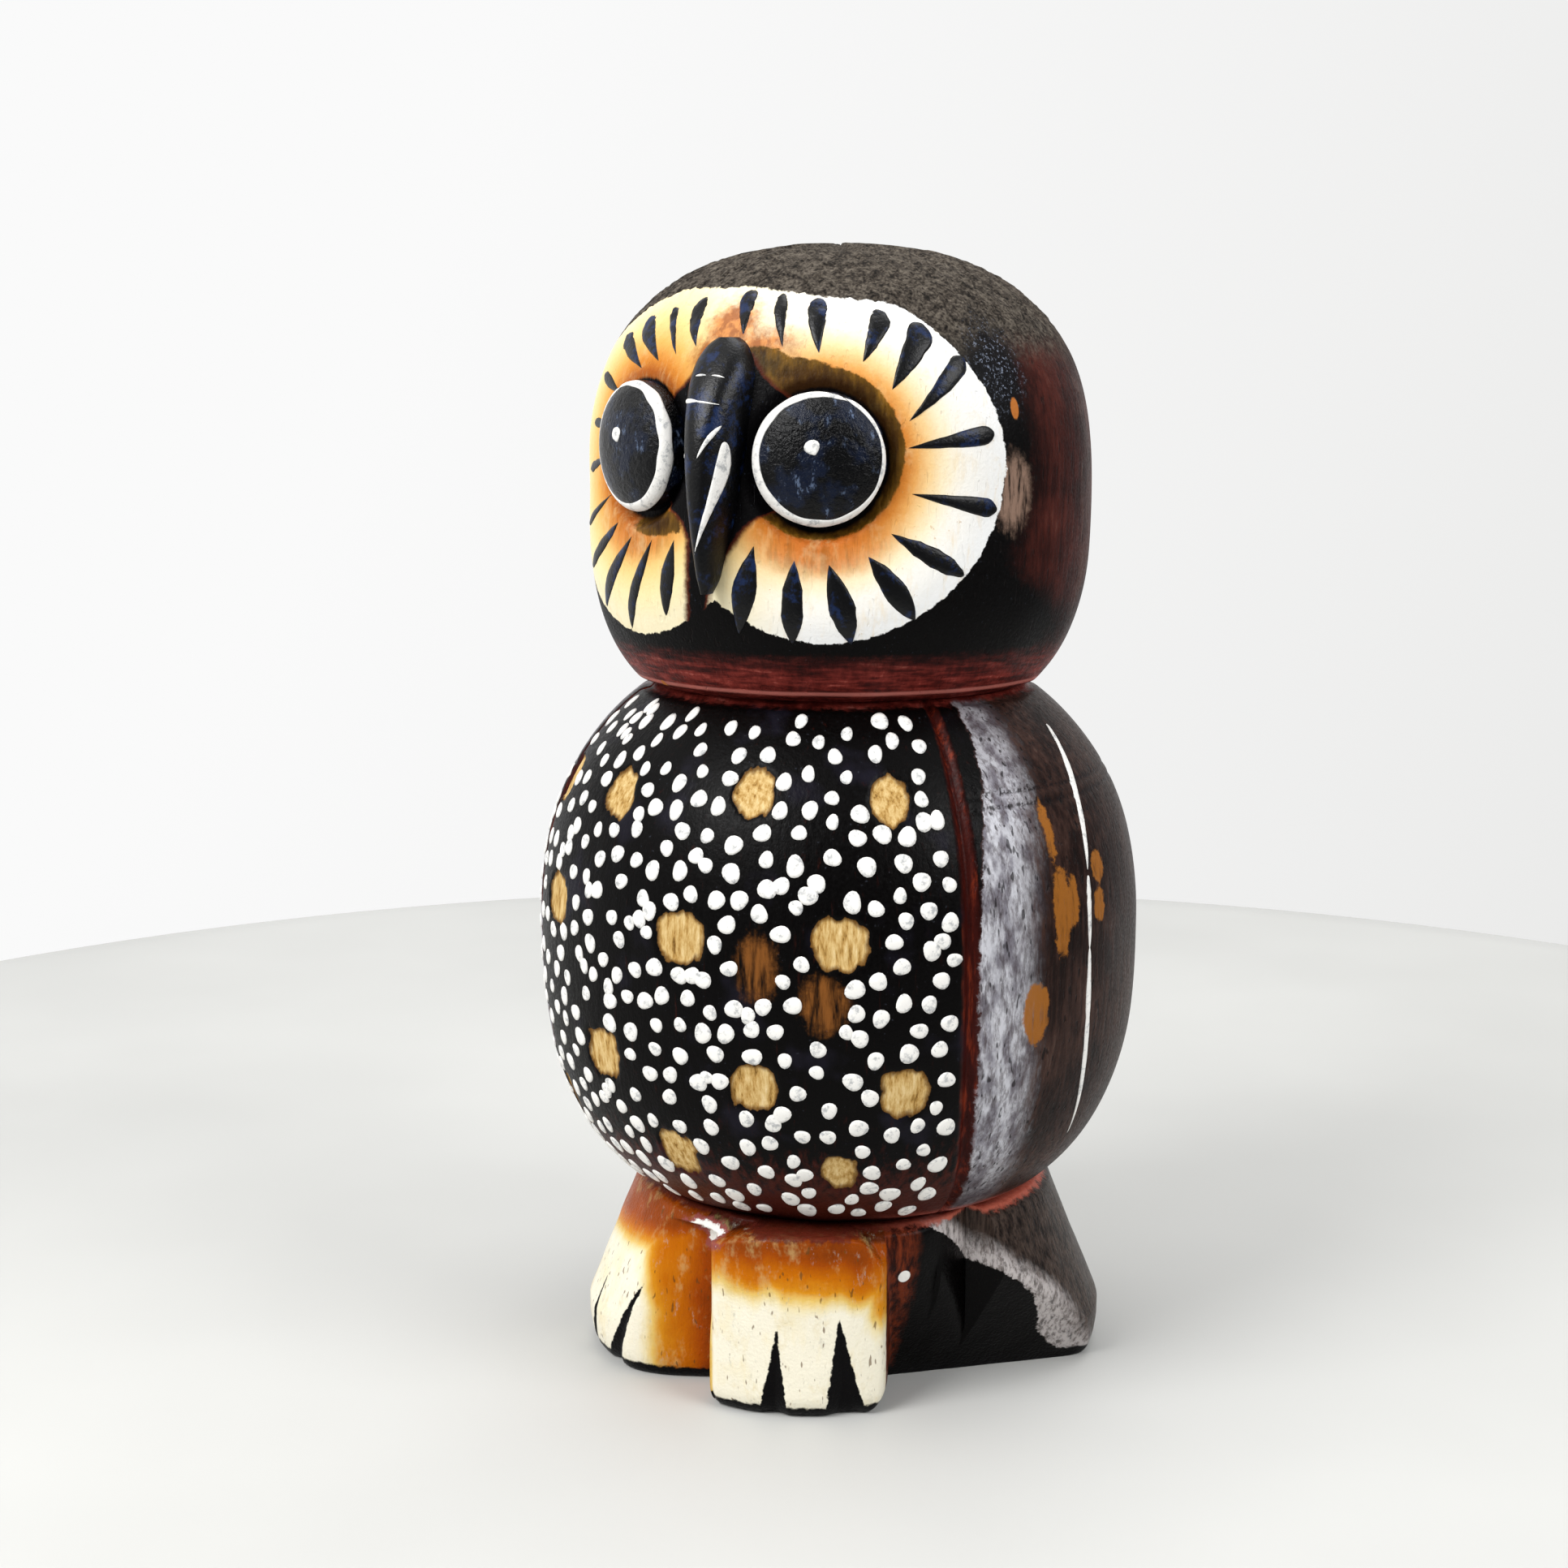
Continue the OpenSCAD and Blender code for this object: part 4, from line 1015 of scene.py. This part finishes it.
def base_reach(azimuth, z):
    """Distance of the base's surface from the axis. It is the least of the flare, the toe of
    each foot, the notch's sides, and the flank cut or the foot's side wall, whichever is
    further out. The flare is a cone over a straight skirt and stands a little to one side.
    The left foot's block reaches past the flare up to an arched ledge, and every lower edge
    is rounded. The claws are V grooves."""
    around = (azimuth - FEET_TURN + 180) % 360 - 180
    one_side = np.abs(around)
    left = around > 0
    cone = WAIST_R + (SKIRT_R - WAIST_R) * np.clip((WAIST_Z - z) / (WAIST_Z - SKIRT_Z), 0, 1)
    flare = cone + LEAN[1] * np.cos(np.radians(azimuth - LEAN[0]))
    across = 33 * np.sin(np.radians(np.clip(around - FOOT_AZIMUTH, -90, 90)))
    top = LEDGE_Z - 0.018 * across ** 2 - 2.5 * np.clip((across - 7.5) / 3.5, 0, 1) ** 2
    block = WAIST_R + (LEDGE_R - WAIST_R) * (1 - np.clip((z - top + 2.6) / 2.6, 0, 1) ** 3) ** (1 / 3)
    flare = np.where(left & (around < 48), np.maximum(flare, block), flare)
    flare = flare - 0.9 * step_up(1.2, 0, WAIST_Z - z) - rolled(z, 4.2, 2)
    at, centre, radius = LEFT_TOE
    swing = np.radians(np.clip(around - at, -80, 80))
    toe = centre * np.cos(swing) + np.sqrt(radius ** 2 - (centre * np.sin(swing)) ** 2) - rolled(z, 3.2, 2)
    aside = np.radians(one_side - FOOT_AZIMUTH)
    plane = (RIGHT_FRONT - rolled(z, 4, 1.5)) / np.maximum(np.cos(aside), 0.1)
    front = np.where(left, toe, plane)
    front = np.where(one_side < 75, front, 99)
    slant, slope = np.radians(FLANK_SLANT), np.cos(np.radians(one_side - np.where(left, *FLANK_AZIMUTH)))
    flank = (FLANK_DIST + z * np.sin(slant)) / (np.cos(slant) * np.maximum(slope, 0.05))
    wall = (np.where(left, *FOOT_SIDE) - rolled(z, 3.4, 2.2)) / np.maximum(
        np.cos(np.radians(one_side - np.where(left, *FOOT_WALL))), 0.05)
    side = -less(-flank, -wall, 1.2)
    side = np.where(one_side > 30, side, 99)
    corner = np.where(one_side < 60, 4 + 2 * step_up(5, 0, z), 1.6)
    reach = less(less(flare, front, 1.6), side, corner)
    (a, p), (b, q), (c, w) = NOTCH
    faces = []
    for (near_az, near), (far_az, far) in (((a, p), (b, q)), ((b, q), (c, w))):
        swept = near * np.sin(np.radians(around - near_az)) + far * np.sin(np.radians(far_az - around))
        straight = near * far * np.sin(np.radians(far_az - near_az)) / np.maximum(swept, 0.1)
        faces.append(np.clip(straight, 5, 99))
    cut = -less(-faces[0], -faces[1], 1.2) + 14 * step_up(21.8, 23.4, z) - rolled(z, 3, 1.8)
    soft = np.where(around < b, 4.5, 3.4)
    reach = np.where((around > a - 5) & (around < c + 3), less(reach, cut, soft), reach)
    claws = np.clip(claw_depth(around, reach, z), 0, 1.6)
    return np.minimum(reach - 0.45 * claws, flare - 0.05)


base_turn = np.degrees(np.linspace(-np.pi, np.pi, 900, endpoint=False))
rise = np.linspace(0, 1, 86)
base_z = WAIST_Z * (rise - 0.13 / np.pi * np.sin(2 * np.pi * rise))
azimuth, z = np.meshgrid(base_turn, base_z)
arc = np.radians(azimuth) * 30
reach = base_reach(azimuth, z) + 0.07 * ripples(arc / 3 + 50, z / 3, 63, 41) - 0.07
base_rings = np.stack([reach * np.sin(np.radians(azimuth)), -reach * np.cos(np.radians(azimuth)), z], -1)
under, cap = [base_rings[end][None] * [[[0]], [[0.5]], [[0.97]]] for end in (0, -1)]
under[..., 2] = 0
cap[..., 2] = WAIST_Z
base_rings = np.concatenate([under, base_rings, cap[::-1]])
azimuth, z = [np.concatenate([np.repeat(g[:1], 3, 0), g, np.repeat(g[-1:], 3, 0)]) for g in (azimuth, z)]
around = (azimuth - FEET_TURN + 180) % 360 - 180
reach = np.hypot(base_rings[..., 0], base_rings[..., 1])
edge_at = flow(z, TAIL_EDGE) + 18 * (around < 0)
tail = (np.abs(around) - edge_at) * 0.55
foot_end = np.where(around > 0, 45.5, 63.5)
# How far the amber has come down each foot, from 0 for ivory to 1 for red-brown: it falls
# from the waist in waves, and runs on down the notch and the outer edge.
wave = z + 0.7 * ripples(around / 4 + 30, z * 0 + 3, 90, 42) + 0.07 * reach * np.sin(
    np.radians(around - FOOT_AZIMUTH))
left_amber = (0.28 * step_up(14, 17.4, wave) + 0.2 * step_up(16.6, 18.6, wave)
              + 0.3 * step_up(18.2, 23, wave))
left_amber = np.maximum(left_amber, 0.45 * step_up(1.5, -1.5, around))
left_amber = np.maximum(left_amber, 0.42 * step_up(36, 42, around) * step_up(9, 15, z))
left_amber = np.maximum(left_amber, step_up(31.6, 30, reach) * step_up(21, 23, z))
slip = around + 0.5 * np.clip(z - 9, 0, 9)
right_amber = np.maximum(0.78 * step_up(15, 21, z - 0.06 * (around + 30)),
                         0.5 * step_up(-25, -17, slip) + 0.3 * step_up(-17, -9, around))
amber = np.where(around > -7, left_amber, right_amber)
base = skins(base_rings[None], "carved_base", {
    "claw": claw_depth(around, reach, z)[None], "tail": tail[None],
    "foot": (foot_end - np.abs(around))[None], "amber": amber[None],
    "smear": oval_depth(around, z, ((-5.8, 22.2, 3.5, 1.2), (-6.6, 20.4, 1.4, 2.4)), 29)[None],
    "dot": oval_depth(around, z, ((49.2, 17.4, 0.95, 0.95),), 29)[None]})

# Enamel over carved wood. The feet are shaded wet in wet from amber under the waist to
# ivory at the toes, the claws and the sole line are gloss black, the flanks are black over
# red-brown, and the tail is bare weathered brown with a dry-brushed grey edge.
base_paint, tree = finish("shaded_enamel_on_carved_base")
place = add("TexCoord", out="Object")
marks = {name: add("Attribute", out="Fac", attribute_name=name)
         for name in ("amber", "foot", "tail", "claw", "smear", "dot")}
height = add("SeparateXYZ", place, out="Z")
grain = add("TexNoise", add("Mapping", place, inputs={"Scale": (1, 1, 0.2)}), 1.1 / MM, 4, 0.65)
speck = add("TexNoise", place, 2.4 / MM, 2, 0.5)
blotch = add("TexNoise", place, 0.15 / MM, 3, 0.55)
ragged = add("Math", add("TexNoise", place, 0.8 / MM, 4, 0.7), 1.4, -0.7, operation="MULTIPLY_ADD")
level = add("Math", add("Math", blotch, 0.5, operation="SUBTRACT"), 0.3, marks["amber"],
            operation="MULTIPLY_ADD")
level = add("Math", add("Math", grain, 0.5, operation="SUBTRACT"), 0.12, level, operation="MULTIPLY_ADD")
foot_tone = add("ValToRGB", level, stops=[
    (0, "#e6e0cc"), (0.1, "#e3d6ae"), (0.22, "#d9b765"), (0.36, "#c98518"),
    (0.52, "#b66300"), (0.72, "#964200"), (1, "#3a1406")])
field = add("TexNoise", add("Mapping", place, inputs={"Scale": (1, 1, 0.6)}), 0.3 / MM, 4, 0.7)
amount = add("MapRange", field, 0.52, 0.7, 0, 0.4, **SMOOTH)
foot_tone = add("Mix", amount, foot_tone, "#c9b478", data_type="RGBA")
field = add("TexNoise", add("Mapping", place, inputs={"Scale": (1, 1, 0.5)}), 0.7 / MM, 4, 0.75)
amount = add("MapRange", field, 0.58, 0.72, 0, 0.5, **SMOOTH)
foot_tone = add("Mix", amount, foot_tone, "#a9a698", data_type="RGBA")
field = add("TexNoise", add("Mapping", place, inputs={"Scale": (1, 1, 0.35)}), 1.7 / MM, 1, 0.5)
amount = add("MapRange", field, 0.68, 0.74, 0, 0.7, **SMOOTH)
foot_tone = add("Mix", amount, foot_tone, "#5c3d18", data_type="RGBA")
field = add("Math", ragged, 3, marks["foot"], operation="MULTIPLY_ADD")
amount = add("MapRange", field, -9, -4, **SMOOTH)
tones = add("Mix", add("MapRange", grain, 0.36, 0.66, **SMOOTH), "#220a06", "#6c2c14", data_type="RGBA")
flank_tone = add("Mix", amount, "#030202", tones, data_type="RGBA")
tail_tone = add("Mix", add("MapRange", grain, 0.3, 0.7, **SMOOTH), "#120c0a", "#4a3d36", data_type="RGBA")
field = add("TexNoise", add("Mapping", place, inputs={"Scale": (1, 1, 0.25)}), 1.5 / MM, 1, 0.5)
amount = add("MapRange", field, 0.62, 0.7, 0, 0.7, **SMOOTH)
tail_tone = add("Mix", amount, tail_tone, "#120d0c", data_type="RGBA")
dry = add("Math", ragged, 2.2, marks["tail"], operation="MULTIPLY_ADD")
dry = add("Math", add("MapRange", dry, -0.2, 0.3, **SMOOTH), add("MapRange", dry, 1.5, 6, 1, 0, **SMOOTH),
          operation="MULTIPLY")
field = add("TexNoise", add("Mapping", place, inputs={"Scale": (1, 1, 0.45)}), 1.3 / MM, 4, 0.75)
dry = add("Math", dry, add("MapRange", field, 0.36, 0.58, 0.25, 1, **SMOOTH), operation="MULTIPLY")
tail_tone = add("Mix", dry, tail_tone, "#b9b2b0", data_type="RGBA")
field = add("Math", ragged, 1.2, marks["tail"], operation="MULTIPLY_ADD")
amount = add("MapRange", field, -0.1, 0.2, **SMOOTH)
colour = add("Mix", amount, flank_tone, tail_tone, data_type="RGBA")
field = add("Math", ragged, 0.8, marks["foot"], operation="MULTIPLY_ADD")
amount = add("MapRange", field, 1.5, 2.2, **SMOOTH)
colour = add("Mix", amount, colour, foot_tone, data_type="RGBA")
field = add("Math", ragged, 0.7, marks["claw"], operation="MULTIPLY_ADD")
claw = add("MapRange", field, -0.08, 0.1, **SMOOTH)
field = add("Math", ragged, 0.0008, height, operation="MULTIPLY_ADD")
sole = add("MapRange", field, 0.0014, 0.0018, 1, 0, **SMOOTH)
colour = add("Mix", add("Math", claw, sole, operation="MAXIMUM"), colour, "#050405", data_type="RGBA")
field = add("Math", ragged, 0.0014, height, operation="MULTIPLY_ADD")
hem = add("MapRange", field, 0.0236, 0.0242, **SMOOTH)
aside = add("SeparateXYZ", place, out="X")
amount = add("Math", hem, 0.9, operation="MULTIPLY")
field = add("MapRange", aside, 0.016, 0.026, **SMOOTH)
tones = add("Mix", field, add("Mix", grain, "#240a07", "#6e2a20", data_type="RGBA"),
            add("Mix", grain, "#8c3226", "#d67a64", data_type="RGBA"), data_type="RGBA")
colour = add("Mix", amount, colour, tones, data_type="RGBA")
field = add("Math", ragged, 1.4, marks["smear"], operation="MULTIPLY_ADD")
smear = add("MapRange", field, -0.5, -0.1, **SMOOTH)
colour = add("Mix", smear, colour, "#8d4a44", data_type="RGBA")
smear = add("MapRange", field, 0, 0.25, **SMOOTH)
smear = add("Math", smear, add("MapRange", marks["dot"], 0, 0.15, **SMOOTH), operation="MAXIMUM")
colour = add("Mix", smear, colour, "#ecebe6", data_type="RGBA")
raised = add("Bump", inputs={"Height": add("Math", grain, speck, operation="ADD"), "Strength": 0.35,
                             "Distance": 0.00025})
paint = add("BsdfPrincipled", inputs={
    "Base Color": colour, "Specular IOR Level": 0.07,
    "Roughness": add("MapRange", speck, 0.2, 0.8, 0.26, 0.42, **SMOOTH), "Normal": raised})
add("OutputMaterial", paint)
base.data.materials.append(base_paint)
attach(base, "root")
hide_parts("base")

# ---------------------------------------------------------------- dowels
# Two birch pegs, glued into the neck and the waist. They are closed in by the sections
# they join, and they keep the bare wood of the rod they were cut from.
birch, tree = finish("bare_birch_dowel_rod")
place = add("TexCoord", out="Object")
amount = add("TexNoise", add("Mapping", place, inputs={"Scale": (1, 1, 0.08)}), 0.9 / MM, 4, 0.6)
tone = add("Mix", amount, "#c9a26b", "#e4cb9d", data_type="RGBA")
field = add("TexNoise", add("Mapping", place, inputs={"Scale": (1, 1, 0.08)}), 1.5 / MM, 3, 0.6)
raised = add("Bump", inputs={"Height": field, "Strength": 0.3, "Distance": 0.0002})
wood = add("BsdfPrincipled", inputs={"Base Color": tone, "Roughness": 0.62, "Normal": raised})
add("OutputMaterial", wood)
for name in ("neck_dowel", "waist_dowel"):
    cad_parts[name].data.materials.clear()
    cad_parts[name].data.materials.append(birch)
